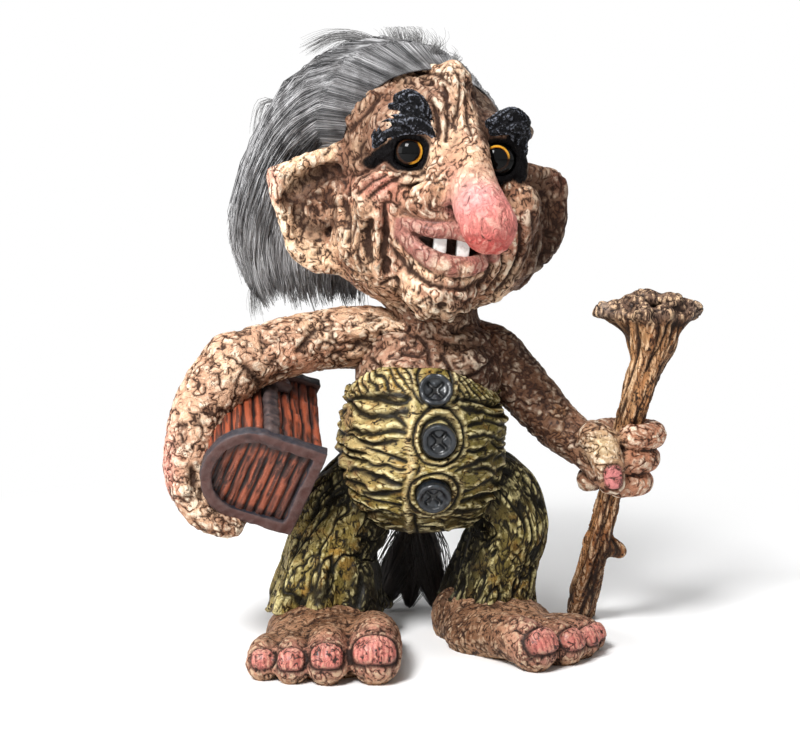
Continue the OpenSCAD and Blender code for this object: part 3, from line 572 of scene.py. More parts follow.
def carved_paint(name, dark, light, size, depth=0.5, roughness=0.55, width=1.0, stretch=(1, 1, 1), angle=(0, 0, 0)):
    """Painted casting: the painted-in tint under short curved cuts that hold a dark wash, with a pale dry brush on what
    stands between them. The cuts follow the level |n - 1/2| = 0 of a noise n on warped places, where a wider noise is
    high, and a second, finer set lies across them."""
    s = Shader(name, Roughness=roughness, **{"Specular IOR Level": 0.07, "Coat Roughness": 0.35})
    plain = s.places()
    at = s.warped(s.places(stretch, angle), size * 1.1, size * 1.2)
    level = (s.noise(at, size, 1.0) - 0.5).maths("ABSOLUTE")
    fine = (s.noise(s.warped(plain, size * 0.6, size * 0.7), size * 0.42, 1.0) - 0.5).maths("ABSOLUTE")
    patch = s.noise(plain, size * 1.1, 1.0, 0.5, 0.6)
    bold = 1 - s.attribute("calm")
    cut = level.above(0.045 * width, 0.012) * patch.above(0.44, 0.52) * bold
    scratch = fine.above(0.05 * width, 0.01) * s.noise(plain, size * 0.8, 1.0).above(0.54, 0.62) * bold
    # The wash attribute brings both the dark wash of the paint and painted shade in wide hollows, under parts and
    # between them; both take the wash colour.
    wash = s.attribute("wash")
    speck = s.noise(plain, size * 0.3, 3.0, 0.65)
    stain = s.noise(plain, size * 3.2, 4.0, 0.62).above(0.48, 0.66)
    mask = (cut * 0.95).maths("MAXIMUM", scratch * 0.75).maths("MAXIMUM", wash)
    halo = ((level.above(0.15, 0.03) * patch.above(0.40, 0.62) * 0.45 + stain * 0.4) * bold
            + speck.above(0.58, 0.74) * 0.25)
    tint = s.attribute("tint", colour=True)
    toned = s.blend(halo.maths("MINIMUM", 0.85), tint, s.blend(1.0, tint, (0.40, 0.28, 0.22), "MULTIPLY"))
    ridge = level.above(0.04, 0.14) * s.attribute("ridge") * (0.55 + speck.above(0.6, 0.4) * 0.5)
    brushed = s.blend(ridge.maths("MINIMUM", 0.9), toned, light)
    s.feed(Base_Color=s.blend(mask.maths("MINIMUM", 0.97), brushed, dark))
    height = level.above(0.0, 0.12) * 0.7 + fine.above(0.0, 0.1) * 0.35 + speck * 0.35
    s.feed(Normal=s.bump(height, 0.9, depth))
    s.feed(Roughness=speck * 0.25 + (roughness - 0.12) + wash * 0.1)
    s.feed(Coat_Weight=s.attribute("gloss"))
    return s.material


# Head

# The head's own frame: turned to the figure's left and tipped to its right. Places below are in this frame.
HEAD_PLACE = turn(2, 9) @ turn(1, 4)
HEAD_MID = np.array([0.0, 10.0, 230.0])
EYES = np.array([[-21.5, -39.0, 19.5], [21.5, -39.0, 19.5]])
EYE_RADIUS = 9.9
SOCKET_RADIUS = 10.25
TEETH = np.array([[-6.5, -54.0, -24.0], [5.0, -54.0, -25.0]])
TOOTH_SIZE = (3.2, 2.2, 5.4)


def to_model(p):
    """Points of the head's own frame in the frame of the part."""
    return p @ HEAD_PLACE.T + HEAD_MID


# Paths in the head's frame
UPPER_LIP = [(-27, -43, -13), (-19, -52, -16.5), (-10, -57, -18), (-2, -58.5, -17), (7, -58, -19.5), (17, -51, -22),
             (23, -45, -23)]
LOWER_LIP = [(-26, -43, -16), (-20, -50, -24), (-11, -56, -31), (0, -58, -34), (9, -56, -33.5), (17, -50, -29),
             (22, -45, -25)]
# Cuts as lines of x, z on the front of the face, each with its width and depth
FACE_CUTS = [
    ([(-46.8, -2.4), (-41.5, 3), (-34.3, 7.4)], 1.0, 1.3),
    ([(-40.6, -3.3), (-35.2, 2.1), (-26, 7.4)], 1.1, 1.5),
    ([(-44, 7), (-37, 11), (-30, 10)], 0.9, 1.0),
    ([(-49, -7), (-48.3, -12), (-46.5, -18), (-47, -26)], 1.4, 2.4),
    ([(-38.8, -15.5), (-39.3, -25), (-36, -35)], 1.5, 2.8),
    ([(-33.8, -8), (-31.6, -20), (-31.4, -31), (-28.5, -40)], 1.5, 2.8),
    ([(-42.5, -20), (-43.5, -30), (-41, -39)], 1.0, 1.4),
    ([(-29, -26), (-23, -34), (-15, -41), (-4, -45), (7, -45), (15, -41)], 1.5, 2.0),
    ([(18.5, -27), (20.5, -35), (16, -44)], 1.5, 2.8),
    ([(26, -24), (28, -34), (23, -45)], 1.4, 2.6),
    ([(34, -12), (37, -24), (35, -36), (28, -48)], 1.3, 2.2),
    ([(40, -6), (43, -16), (42, -28), (37, -40)], 1.3, 2.2),
    ([(-14, 44), (-11, 36), (-10, 27)], 1.2, 1.8),
    ([(-8.5, 52), (-7, 44), (-6.2, 33), (-7, 26)], 1.0, 1.6),
    ([(-2, 58), (-1, 48), (-2.5, 38)], 0.9, 1.3),
    ([(3, 44), (3.2, 36), (5, 30)], 1.0, 1.2),
    ([(-28, 63), (-20, 60.5), (-12, 58), (-6, 53)], 1.0, 1.4),
    ([(-50, 28), (-44, 36), (-38, 44)], 1.0, 1.2),
    ([(-47, 14), (-42, 17), (-36, 13)], 1.0, 1.1),
    ([(-16, 10), (-20, 8), (-28, 9.5), (-34, 13)], 1.1, 1.3),
    ([(-15, -54), (-11, -50), (-9, -55)], 0.9, 1.0),
    ([(-22, -50), (-24, -42), (-30, -47)], 1.0, 1.3),
    ([(2, -49), (8, -52), (12, -50)], 1.0, 1.2),
]


# Outlines of the ears as x, z, and their leaves' middles y = tilt . (1, x)
RIGHT_EAR = [(-34, 14), (-42, 22), (-55, 20.5), (-68, 15.5), (-80, 10.5), (-88.5, 7), (-86, -5), (-82, -15),
             (-77.5, -26), (-72, -36), (-63, -42.5), (-54, -44), (-44, -41), (-34, -32)]
LEFT_EAR = [(34, 12), (46, 19), (60, 17.5), (69, 15), (72.5, 3), (74.5, -10), (71, -21.5), (66, -30), (57, -37),
            (50, -46), (42, -46), (34, -36)]
EAR_TILTS = ((-7.0, -0.1), (-18.0, 0.45))


def ear_line(side, points, forward, radius):
    """A bar that runs over the front of an ear through points of x, z, by forward in front of the leaf's middle."""
    tilt = EAR_TILTS[side > 0]
    return limb([(x, tilt[0] + tilt[1] * x - forward, z, r) for (x, z), r in zip(points, radius)], 4)


def head_block(step):
    """The head as one blended solid: skull masses, nose, lips, ears, folds and warts joined, and eye sockets, mouth,
    nostrils and ear hollows carved."""
    b = Block((-96, -103, -88), (84, 66, 72), step)
    for mid, radii in [((-6.8, 5, 17.8), (43, 55, 47)), ((-15.4, -5.5, 29.2), (34.2, 38, 34.3)),
                       ((0, 0, -21.6), (56, 46.2, 40)), ((0, -30.8, -24), (28.5, 27.6, 26)),
                       ((-4, -44, -48), (17.5, 15, 13)), ((-30, -33, -6), (17, 14, 14)), ((31, -33, -8), (16, 14, 16)),
                       ((-22, -36, 33), (19, 13, 9)), ((22, -36, 33), (18, 13, 9))]:
        b.join(ball(mid, radii), 8)
    b.join(limb([(0, 2, -40, 24), (0, 0, -66, 19)], 2), 8)
    # Bone of the forehead, the ridges up it, and the rolled edge of the skin along the hairline
    b.join(ball((-2, -36, 42), (9, 13, 23)), 6)
    for line, r in [([(-48, 34), (-43, 43), (-36, 50), (-26, 56), (-15, 60), (-3, 62)], 3.2),
                    ([(-40, 46), (-30, 50), (-20, 49), (-11, 45), (-8, 37), (-7, 30)], 2.2),
                    ([(-12, 58), (-4, 54), (1, 46), (2, 38), (0, 30)], 3.2), ([(-24, 56), (-17, 52), (-13, 44)], 2.0),
                    ([(-4, 61), (4, 57), (8, 50), (9, 42)], 2.4)]:
        b.join(limb(b.on_front(line, r, 0.45), 4), 4)
    # Ears: a leaf with a rolled upper rim, the bowl under it, the flap before the ear's opening and a hollow below
    b.join(flap(RIGHT_EAR, EAR_TILTS[0], 9), 7)
    b.join(limb([(-38, -8, 12, 7), (-46, -5, 14, 6), (-52, -3, 15, 4.5)], 3), 6)
    b.join(ear_line(-1, [(-42, 20), (-56, 16.5), (-68, 11.5), (-79, 6.5), (-84, 1), (-81, -12), (-76, -25)], 3,
                    (4.5, 4.6, 4.8, 4.2, 3.4, 3, 2.6)), 3)
    b.join(ear_line(-1, [(-74, -32), (-66, -38), (-56, -40), (-47, -37)], 2.5, (3, 3.6, 4, 4)), 3)
    b.carve(ear_line(-1, [(-54, 9), (-62, 5.5), (-71, -0.5), (-77, -7)], 5.2, (3, 4.8, 5, 3)), 2)
    b.carve(ear_line(-1, [(-71, -4), (-72, -14), (-68, -23), (-60, -26), (-54, -22)], 5.4, (2.4, 3.4, 3.8, 3.4, 2.4)),
            2)
    b.join(ear_line(-1, [(-66, -9), (-61, -9), (-58, -14), (-61, -18), (-65, -15)], 4.2, (2.2, 2.4, 2.6, 2.4, 1.8)),
           1.5)
    b.carve(ear_line(-1, [(-76, -10), (-77.5, -18)], 6.5, (1.6, 1.8)), 1)
    b.join(flap(LEFT_EAR, EAR_TILTS[1], 8), 5)
    b.join(ear_line(1, [(44, 16), (58, 14), (67, 10.5), (69.5, 2), (71, -10), (67, -22), (58, -33)], 2.5,
                    (4, 4.2, 4, 3, 2.6, 2.6, 3)), 3)
    b.carve(ear_line(1, [(50, 6), (60, 3), (65, -6), (62, -18), (54, -28)], 6, (2.4, 4, 4.2, 4, 2.6)), 2.5)
    # Cheeks, the folds beside the mouth and the bags under the eyes
    b.join(ball((-38, b.front(-38, 1)[0] + 4, 1), (12, 8, 8.5), turn(1, -25)), 4)
    b.join(ball((37, b.front(37, -2)[0] + 4, -2), (9, 7, 10)), 4)
    for line, r in [([(-52, 2), (-51, -10), (-50, -22), (-47, -34)], 4),
                    ([(-43.5, -8), (-43.5, -20), (-42, -32), (-37, -42)], 3.6),
                    ([(-36, -5), (-35.4, -18), (-35, -30), (-31, -41)], 3.0),
                    ([(-29, -9), (-28, -18), (-27.5, -27), (-25, -36)], 2.6),
                    ([(22.5, -20), (24, -30), (20, -42)], 2.8), ([(30, -15), (32.5, -27), (28, -42)], 3.2),
                    ([(38, -8), (40.5, -20), (37, -36), (30, -50)], 3.4), ([(47, -4), (49, -18), (46, -34)], 4)]:
        b.join(limb(b.on_front(line, r, 0.35), 4), 2.2)
    b.join(limb([(-34, -40, 10.5, 2.5), (-27, -45, 8, 3), (-20, -47, 7.5, 3), (-13, -46, 9, 2.5)], 4), 2.5)
    # Nose
    b.join(limb([(4, -43, 36, 6), (6, -51, 25, 8.2), (5.5, -58.5, 14, 10), (6, -67, 3.5, 11.8), (8, -75, -5, 12.8),
                 (10.5, -81.5, -12, 13.4), (11, -83.5, -13.5, 13.3)], 5), 5)
    b.join(limb([(-4, -44, 30, 5), (-6, -51, 17, 7), (-8, -56, 8, 7.5)], 4), 5)
    b.join(limb([(-3, -58, 6, 9), (-11, -57, 0, 7.5), (-17.5, -53.5, -1, 5.5)], 4), 4)
    b.join(limb([(4, -60, 3, 9), (13, -59, -5, 7.5), (17, -55, -8, 5.5)], 4), 4)
    b.carve(limb([(-9, -56, -9, 3), (-4, -65, -13, 2.6), (-1, -70, -16, 1.5)], 4), 2)
    # Lips, the mound over them, the open mouth and the chin
    b.join(ball((-9, -51, -9), (15, 9, 6), turn(1, 14)), 4)
    b.join(limb([(*p, r) for p, r in zip(UPPER_LIP, (2.5, 3.4, 3.8, 3.8, 3.8, 3.4, 2.5))], 4), 2.5)
    b.join(limb([(*p, r) for p, r in zip(LOWER_LIP, (2.5, 3.8, 4.8, 5.2, 5, 4, 2.5))], 4), 2.5)
    b.carve(limb([(-19, -53, -20, 1.6), (-8, -55, -24, 3.6), (2, -56, -25.5, 4.4), (12, -53, -25, 3.6),
                  (19, -47, -25, 1.8)], 5), 1.2)
    for x, z, r in ((-18, -51, 4), (-11, -58, 4.2), (1, -59, 4), (9, -54, 3.5), (-7, -49, 3), (-23, -45, 2.6),
                    (4, -48, 2.4), (14, -48, 2.6)):
        b.join(ball((x, b.front(x, z)[0] + r * 0.45, z), r), 1.2)
    b.carve(ball((-4, b.front(-4, -54)[0] - 0.5, -54.5), (3.2, 3.4, 2.6)), 1.2)
    # Thick lids round the glass eyes
    for x, y, z in EYES:
        a = np.radians(np.arange(0, 361, 30))
        tall = np.where(np.sin(a) > 0, 3.4, 2.5)
        ring = np.column_stack([x + 10 * np.cos(a), np.full(len(a), y - 4.5) + 2.2 * np.abs(np.cos(a)),
                                z + 9.6 * np.sin(a), tall])
        b.join(limb(ring, 3), 2)
    b.join(limb([(-31, -41, 21, 3.2), (-36, -37, 17, 3), (-39.5, -33, 14, 2)], 4), 2)
    b.join(limb([(29, -42, 26, 4.5), (33.5, -38, 18, 4.5), (33, -38, 9, 3.8), (28, -41, 6, 2.6)], 4), 2)
    for eye in EYES:
        b.carve(ball(eye, SOCKET_RADIUS), 0.5)
    return b


def skin_paint(p, seed=3):
    """Cream and tan in soft patches."""
    return coats(paint(182, 137, 108), (smoothstep(layered(p, 14, seed), -0.4, 0.5), (230, 192, 156)))


def wash_and_shade_marks(p, n, faces, cuts=0.0):
    """Dark wash in small hollows and painted shade in wide hollows, and dry brush on ridges. Both come from how far a
    point lies under or over the surface smoothed a little and smoothed a lot; cuts adds the carved lines."""
    near = hollows(p, n, faces, 3)
    wide = hollows(p, n, faces, 22)
    # The near hollows and the cuts hold the dark wash; the darkening of the wide hollows is painted shade.
    wash = smoothstep(near, 0.05, 0.26) * 0.8 + smoothstep(wide, 0.3, 1.5) * 0.8 + cuts
    ridge = smoothstep(-near, 0.0, 0.16) * 0.6 + smoothstep(-wide, 0.05, 1.0) * 0.6
    return np.clip(wash, 0, 1), np.clip(ridge, 0, 1)


def head_piece(step, material):
    """The head casting, carved and painted in its own frame and then set on the neck."""
    p, faces = head_block(step).skin()
    n = normals(p, [faces])
    flat = p[:, [0, 2]]
    facing = smoothstep(-n[:, 1], -0.1, 0.3) * (p[:, 1] < -5)
    height, cut_mark = np.zeros(len(p)), np.zeros(len(p))
    for line, width, depth in FACE_CUTS:
        wavy = smooth_path(line, 4)
        d = near_line(flat + 0.5 * np.column_stack([noise(p, 5, 8), noise(p, 5, 9)]), wavy)
        groove = np.exp(-(d / width) ** 2) * facing
        height += -depth * 0.55 * groove + 0.28 * depth * np.exp(-((d - 2.2 * width) / width) ** 2) * facing
        cut_mark = np.maximum(cut_mark, groove)
    eye_gap = np.linalg.norm(p[:, None] - EYES[None], axis=2).min(axis=1)
    nose = near_line(p, [(5, -50, 25), (6, -66, 3), (11, -84, -13)])
    calm = np.clip(1 - smoothstep(nose, 17, 12) * 0.6, 0, 1) * smoothstep(eye_gap, 10.5, 14)
    lips = np.minimum(near_line(p, UPPER_LIP), near_line(p, LOWER_LIP))
    on_lips = smoothstep(lips, 6.5, 4.8)
    calm = calm * (1 - 0.75 * on_lips)
    lines = carved_lines(p * (1, 1, 0.7), 9, 21, 0.11) * smoothstep(noise(p, 8, 30), -0.35, 0.15)
    lines2 = carved_lines(p, 5.5, 25, 0.12) * smoothstep(noise(p, 6, 31), -0.2, 0.25)
    height += calm * (-0.9 * lines - 0.6 * lines2 + 0.6 * layered(p, 4.5, 12, 2))
    q = p + n * height[:, None]
    n = normals(q, [faces])
    wash, ridge = wash_and_shade_marks(q, n, faces, np.clip(0.8 * cut_mark + calm * (0.55 * lines + 0.45 * lines2), 0, 1))

    x, y, z = q.T
    mottle = 0.75 + 0.25 * noise(q, 3.5, 40)
    tip = np.linalg.norm(q - (10.5, -84, -12.5), axis=1)
    on_nose = smoothstep(nose, 20, 15) * (y < -50)
    red_lip = on_lips * smoothstep(z, -11.5, -13.5) * smoothstep(x, -31, -27)
    hollow = near_line(flat, [(-22, 51), (-34, 51), (-42, 40), (-46, 26), (-47, 12)])
    # Painted shade: the forehead on the figure's left side, from the nose out.
    side = np.maximum(smoothstep(x, 6, 15) * smoothstep(z, 22, 36),
                      smoothstep(near_line(flat, [(13, 58), (13, 30)]), 7, 3))
    ear_dip = near_line(flat, [(-58, 0), (-66, -8), (-62, -20)])
    inner = smoothstep(ball((0, -51, -24.5), (19, 8, 6.5)).distance(x, y, z), 0.8, -1.2) * (lips > 3.4)
    lid = smoothstep(eye_gap, 14.6, 13.0)
    lid = np.maximum(lid, smoothstep(near_line(flat, [(-30, 23), (-36, 17), (-40, 13.5)]), 4.5, 3.0) * (y < -20))
    lid = np.maximum(lid, smoothstep(near_line(flat, [(27, 28), (33.5, 22), (34, 12)]), 5, 3.6) * (y < -20))
    colour = coats(
        skin_paint(q),
        (smoothstep(z, -5, 40) * smoothstep(-y, 30, 38) * 0.45, (202, 160, 136)),
        # Pinks: cheeks, mouth corner, nose, lips and ear tips, with painted highlights on the nose's bulb and on the
        # lips where they face up
        (0.85 * blob(flat, (-37, 2), (12, 8.5)) * mottle, (224, 142, 130)),
        (0.75 * blob(flat, (-33, -9), (4.5, 12)) * mottle, (205, 108, 98)),
        (0.6 * blob(flat, (-27, -36), (7, 8)), (210, 140, 122)),
        (0.8 * blob(flat, (-12, -9), (13, 5.5)), (168, 122, 102)),
        (0.75 * blob(flat, (30, -16), (9, 14)) * mottle, (196, 104, 92)),
        (0.5 * blob(flat, (-4, -46), (16, 6)), (218, 150, 128)),
        (on_nose * smoothstep(z, 20, -2) * smoothstep(x, -14, -3) * 0.85, (206, 138, 132)),
        (on_nose * smoothstep(tip, 24, 13) * 0.8, (212, 122, 114)),
        # Painted highlight: pale pink on the front of the nose's bulb.
        (on_nose * blob(q, (3, -80, -1), (9, 12, 8)) * 0.75, (232, 178, 178)),
        (on_nose * smoothstep(z, -13, -22) * 0.85, (186, 74, 68)),
        (on_nose * blob(flat, (2, 22), (7, 7)) * 0.4, (216, 176, 144)),
        (on_nose * blob(flat, (-14, 2), (8, 7)) * 0.7, (216, 172, 128)),
        (red_lip * 0.92, (152, 94, 86)),
        # Painted highlight: paler red where the lips face up.
        (red_lip * smoothstep(n[:, 2], 0.1, 0.8) * 0.6, (204, 150, 136)),
        (red_lip * blob(flat, (14, -34), (14, 7)) * 0.5, (190, 100, 90)),
        (blob(q, (-86, 3, 0), (5, 20, 11)) * 0.85, (232, 168, 152)),
        (blob(q, (67, 12, 13), (8, 20, 6)) * 0.9, (188, 92, 84)),
        # Browns: the hollow over the right eye and the ear's dip; painted shade on the figure's left side (the forehead
        # from the nose out, the cheek and the jaw) and under the chin; darker towards the back
        (0.85 * smoothstep(hollow, 12, 5) * (y < 0) * (0.8 + 0.2 * noise(q, 6, 66)), (112, 78, 62)),
        (0.8 * blob(flat, (-12, 46), (5, 13)) * (y < -20), (140, 100, 82)),
        (0.9 * side * (y < 10), (66, 46, 37)),
        (0.85 * smoothstep(x, 33, 46) * (y < 25), (96, 68, 54)),
        (0.6 * smoothstep(x, 40, 56) * smoothstep(z, 6, -20), (66, 47, 39)),
        (0.65 * smoothstep(ear_dip, 15, 5) * (x < -46), (124, 88, 70)),
        (0.45 * smoothstep(y, 0, 30), (140, 98, 76)),
        (0.55 * smoothstep(z, -50, -64), (106, 76, 60)),
        # The inside of the mouth and the dark lids
        (inner, (7, 5, 6)),
        (lid, (7, 5, 6)),
    )
    wash = np.maximum(wash, inner)
    wash = np.maximum(wash, 0.9 * blob(flat, (-4, -54.5), (2.6, 2.4)) * (y < -30))
    # Painted shade: near-black deep in the right ear's bowl and round its opening.
    bowl = near_line(flat, [(-55, 8), (-63, 5), (-72, -2), (-77, -8)])
    wash = np.maximum(wash, 0.95 * smoothstep(bowl, 7.5, 3) * (x < -50) * (y < 3) * (0.75 + 0.25 * noise(q, 4, 61)))
    opening = np.abs(near_line(flat, [(-63, -13), (-61, -13)]) - 8.5)
    wash = np.maximum(wash, 0.7 * smoothstep(opening, 3, 0.8) * (x < -53) * (z > -26) * (y < 3))
    ridge *= 1 - lid
    gloss = 0.05 * (1 - lid) + 0.15 * on_lips + 0.12 * on_nose * smoothstep(z, 8, -4)
    still = np.clip(0.7 * smoothstep(tip, 36, 24) + 0.3 * on_lips + lid, 0, 1)
    pinkish = np.clip(on_lips + on_nose * smoothstep(z, 8, -2) + blob(flat, (-37, 2), (12, 9)), 0, 1)
    # Less dry brush where the face is painted into shade, and in the hollow over the right eye and round the right ear.
    dull = np.maximum(smoothstep(hollow, 13, 6) * (y < 0), np.maximum(side * (y < 10), smoothstep(x, 30, 44)))
    dull = np.maximum(dull, 0.7 * smoothstep(near_line(flat, [(-58, 2), (-68, -4), (-62, -20)]), 16, 7) * (x < -46))
    ridge *= (1 - 0.75 * pinkish) * (1 - 0.72 * dull)
    wash = np.clip(wash * (1 - 0.35 * on_lips), 0, 1) * (1 - lid)
    piece = build("head_casting", to_model(q), [faces], material,
                  {"tint": colour, "wash": wash, "ridge": ridge, "gloss": gloss, "calm": still})
    return seat(piece, "skin", "head")


def brow_piece(name, node, clumps, material, step):
    """A sculpted brow: clumps of stiff hair joined, cut with grooves that run along each clump."""
    pts = np.vstack([np.array(c)[:, :3] for c in clumps])
    b = Block(pts.min(axis=0) - 11, pts.max(axis=0) + 11, step)
    for c in clumps:
        b.join(limb(c, 5), 1.2)
    p, faces = b.skin()
    n = normals(p, [faces])
    height, mark = np.zeros(len(p)), np.zeros(len(p))
    best = np.full(len(p), 1e6)
    for k, c in enumerate(clumps):
        path = smooth_path(np.array(c)[:, :3], 5)
        up = square_to(path, (0, 1, 0.2))[1]
        near = np.argmin(((p[:, None] - path[None]) ** 2).sum(axis=2), axis=1)
        off = p - path[near]
        gap = np.linalg.norm(off, axis=1)
        across = (off * up[near]).sum(axis=1) + 0.9 * np.sin(near * 0.5 + k) + 0.7 * noise(p, 4, 50 + k)
        wave = np.sin(across * 2.9 + k * 1.7)
        mine = gap < best
        height = np.where(mine, 0.55 * wave, height)
        mark = np.where(mine, smoothstep(-wave, 0.1, 0.9), mark)
        best = np.minimum(best, gap)
    q = p + n * (height - 0.35)[:, None]
    n = normals(q, [faces])
    _, ridge = wash_and_shade_marks(q, n, faces, mark)
    # Painted highlight: blue-grey on the clumps where they face up, between the grooves.
    shade = smoothstep(noise(q, 7, 55), -0.4, 0.6) * smoothstep(n[:, 2], -0.2, 0.8)
    colour = coats(paint(12, 11, 12), (0.7 * shade * (1 - mark), (60, 62, 72)))
    piece = build(name, to_model(q), [faces], material,
                  {"tint": colour, "wash": 0.9 * mark, "ridge": ridge, "gloss": 0.05})
    return seat(piece, "brow", node)


# Clumps of each brow: paths of x, y, z and radius in the head's frame
RIGHT_BROW = [
    [(-31, -43.5, 45, 2.0), (-26, -46.5, 46.5, 3.2), (-21, -47.5, 43.5, 3.8), (-16.5, -48, 38.5, 2.6)],
    [(-33, -42.5, 41, 1.8), (-28, -45.5, 41, 2.8), (-22, -48, 39, 3.2), (-15, -48, 34.5, 2.4)],
    [(-39.5, -36, 25.5, 2.0), (-36, -40.5, 31, 3.0), (-30, -45.5, 34, 3.6), (-22, -49, 33.5, 3.8),
     (-14, -48.5, 29.5, 2.8), (-11, -46, 24, 1.8)],
    [(-39, -36, 22, 1.8), (-34.5, -42, 26.5, 2.6), (-28, -46.5, 30, 3.0), (-20, -48.5, 30.5, 2.4)],
]
LEFT_BROW = [
    [(15, -48, 36, 2.4), (21, -50, 39.5, 3.6), (27, -48, 40.5, 4.4), (32.5, -43, 38, 4.2)],
    [(17, -49, 32.5, 2.4), (23, -50.5, 34.5, 3.6), (29, -47.5, 35.5, 4.2), (34, -42, 32.5, 3.8)],
    [(27, -47, 31, 2.4), (32, -44, 29, 3.2), (34.5, -40, 24, 2.6)],
]


def eye_material():
    """Glass eye: a thin amber ring with fine rays round a wide black pupil, and black glass outside it, under a clear
    coat. The ring is painted bright only on one side and dark elsewhere: painted light in the glass."""
    s = Shader("eye_glass", Roughness=0.08, **{"Specular IOR Level": 0.0, "Coat Weight": 0.25, "Coat Roughness": 0.03})
    out, glow = s.attribute("off_axis"), s.attribute("glow")
    rays = s.noise(s.places(), 0.6, 3.0)
    amber = s.blend(out.above(30.0, 40.0), (0.42, 0.12, 0.008), (0.98, 0.50, 0.05))
    # Painted light: the amber shows where the painted light falls and is dark brown elsewhere.
    iris = s.blend((rays.above(0.35, 0.7) * 0.35 + glow.above(0.75, 0.2) * 0.96).maths("MINIMUM", 1.0), amber,
                   (0.02, 0.007, 0.003))
    pupil = s.blend(out.above(31.0, 33.0), (0.002, 0.002, 0.002), iris)
    s.feed(Base_Color=s.blend(out.above(38.0, 42.0), pupil, (0.003, 0.003, 0.003)))
    return s.material


def eye_piece(name, node, mid, gaze, iris_light_way, material):
    """Ball eye: rings of radius R sin(a) at the height R cos(a) round the gaze, with a low dome on the iris. The amber
    is painted bright towards the given direction of painted light, x to the side and z up."""
    a = np.radians(np.linspace(0.5, 179.5, 72))[:, None]
    t = np.linspace(0, 2 * np.pi, 64, endpoint=False)[None, :]
    gaze = unit(gaze)
    side = unit(np.cross(gaze, (0, 0, 1)))
    up = np.cross(side, gaze)
    r = EYE_RADIUS + 0.15 * np.exp(-(np.degrees(a) / 34) ** 4)
    rings = (mid + gaze * (r * np.cos(a))[..., None]
             + side * (r * np.sin(a) * np.cos(t))[..., None] + up * (r * np.sin(a) * np.sin(t))[..., None])
    points, groups = closed_rings(rings)
    way = unit(points - mid)
    off = np.degrees(np.arccos(np.clip(way @ gaze, -1, 1)))
    glow = unit(way - (way @ gaze)[:, None] * gaze) @ unit((iris_light_way[0], 0, iris_light_way[1]))
    return seat(build(name, to_model(points), groups, material, {"off_axis": off, "glow": glow}), "eye_glass", node)


def tooth_material():
    """Glazed tooth: warm white with faint stains, glossy."""
    s = Shader("tooth_glaze", Roughness=0.25, **{"Coat Weight": 0.6})
    stain = s.noise(s.places(), 2.2, 3.0)
    s.feed(Base_Color=s.blend(stain.above(0.5, 0.8) * 0.6, (0.86, 0.85, 0.82), (0.45, 0.40, 0.33)))
    s.feed(Normal=s.bump(s.noise(s.places((1, 1, 0.4)), 1.0, 2.0), 0.4, 0.2))
    return s.material


def tooth_piece(name, node, mid, size, material):
    """Square tooth: the ball x = a |cos|^e, y = b |sin|^e with e = 0.35, which has flat sides and round corners."""
    a = np.linspace(-np.pi / 2 + 0.02, np.pi / 2 - 0.02, 26)[:, None]
    t = np.linspace(0, 2 * np.pi, 40, endpoint=False)[None, :]

    def power(v, e=0.35):
        return np.sign(v) * np.abs(v) ** e

    w, d, h = size
    rings = np.stack([mid[0] + w * power(np.cos(a)) * power(np.cos(t)),
                      mid[1] + d * power(np.cos(a)) * power(np.sin(t)),
                      mid[2] + h * power(np.sin(a)) + 0 * t], axis=-1)
    points, groups = closed_rings(rings)
    return seat(build(name, to_model(points), groups, material), "tooth", node)


# Hair

GUIDES = [
    # Each guide starts on the hairline and runs back over the head, from the right ear over the top to the left ear
    [(-49, 2, 254), (-59, 7, 256), (-71, 14, 247), (-81, 27, 224), (-86, 40, 197), (-83, 49, 174)],
    [(-46, -9, 265), (-57, -6, 268), (-69, 0, 264), (-83, 13, 247), (-94, 29, 219), (-98, 43, 191), (-91, 52, 168)],
    [(-40, -17, 274), (-51, -15, 279), (-65, -8, 277), (-82, 7, 261), (-96, 24, 235), (-104, 40, 205), (-98, 50, 178),
     (-89, 53, 165)],
    [(-32, -23, 282), (-43, -21, 288), (-60, -13, 288), (-79, 3, 274), (-95, 21, 248), (-107, 38, 214),
     (-102, 49, 187), (-92, 53, 166)],
    [(-22, -26, 288), (-33, -23, 295), (-52, -14, 297), (-74, 3, 285), (-92, 20, 261), (-105, 35, 232),
     (-109, 45, 208), (-106, 49, 194), (-99, 50, 179), (-90, 51, 165)],
    [(-12, -25, 291), (-21, -20, 299), (-41, -10, 304), (-64, 6, 295), (-83, 22, 275), (-98, 36, 250), (-105, 45, 226),
     (-109, 47, 208), (-107, 48, 196), (-101, 51, 181), (-93, 51, 167)],
    [(-3, -23, 292), (-9, -14, 302), (-27, 1, 308), (-51, 16, 303), (-73, 31, 286), (-90, 40, 265), (-102, 47, 245),
     (-107, 50, 225), (-109, 51, 211), (-106, 52, 197), (-99, 54, 181)],
    [(6, -18, 291), (1, 0, 302), (-12, 22, 308), (-35, 43, 306), (-57, 56, 291), (-74, 63, 268), (-88, 71, 241),
     (-89, 72, 212), (-85, 69, 188), (-72, 61, 169)],
    [(13, -13, 287), (13, 8, 296), (6, 32, 300), (-8, 56, 298), (-28, 78, 284), (-42, 87, 257), (-50, 92, 227),
     (-51, 90, 199), (-50, 83, 176), (-44, 70, 165)],
    [(21, -3, 284), (22, 16, 287), (21, 36, 286), (17, 59, 281), (7, 82, 264), (-6, 88, 238), (-12, 86, 213),
     (-14, 80, 193), (-15, 71, 173)],
    [(28, 7, 278), (30, 22, 278), (31, 38, 273), (33, 55, 263), (29, 76, 247), (21, 88, 225), (14, 88, 201),
     (11, 83, 182), (7, 73, 167)],
    [(32, 18, 270), (35, 27, 266), (35, 38, 258), (36, 50, 248), (36, 64, 232), (32, 75, 212), (27, 76, 195),
     (24, 73, 180), (21, 68, 170)],
    [(35, 25, 257), (37, 31, 253), (37, 38, 244), (36, 46, 232), (36, 54, 218), (35, 60, 204), (32, 62, 191),
     (29, 60, 182)],
    [(35, 29, 244), (37, 33, 239), (38, 38, 228), (38, 43, 216), (37, 47, 206), (35, 50, 196)],
]
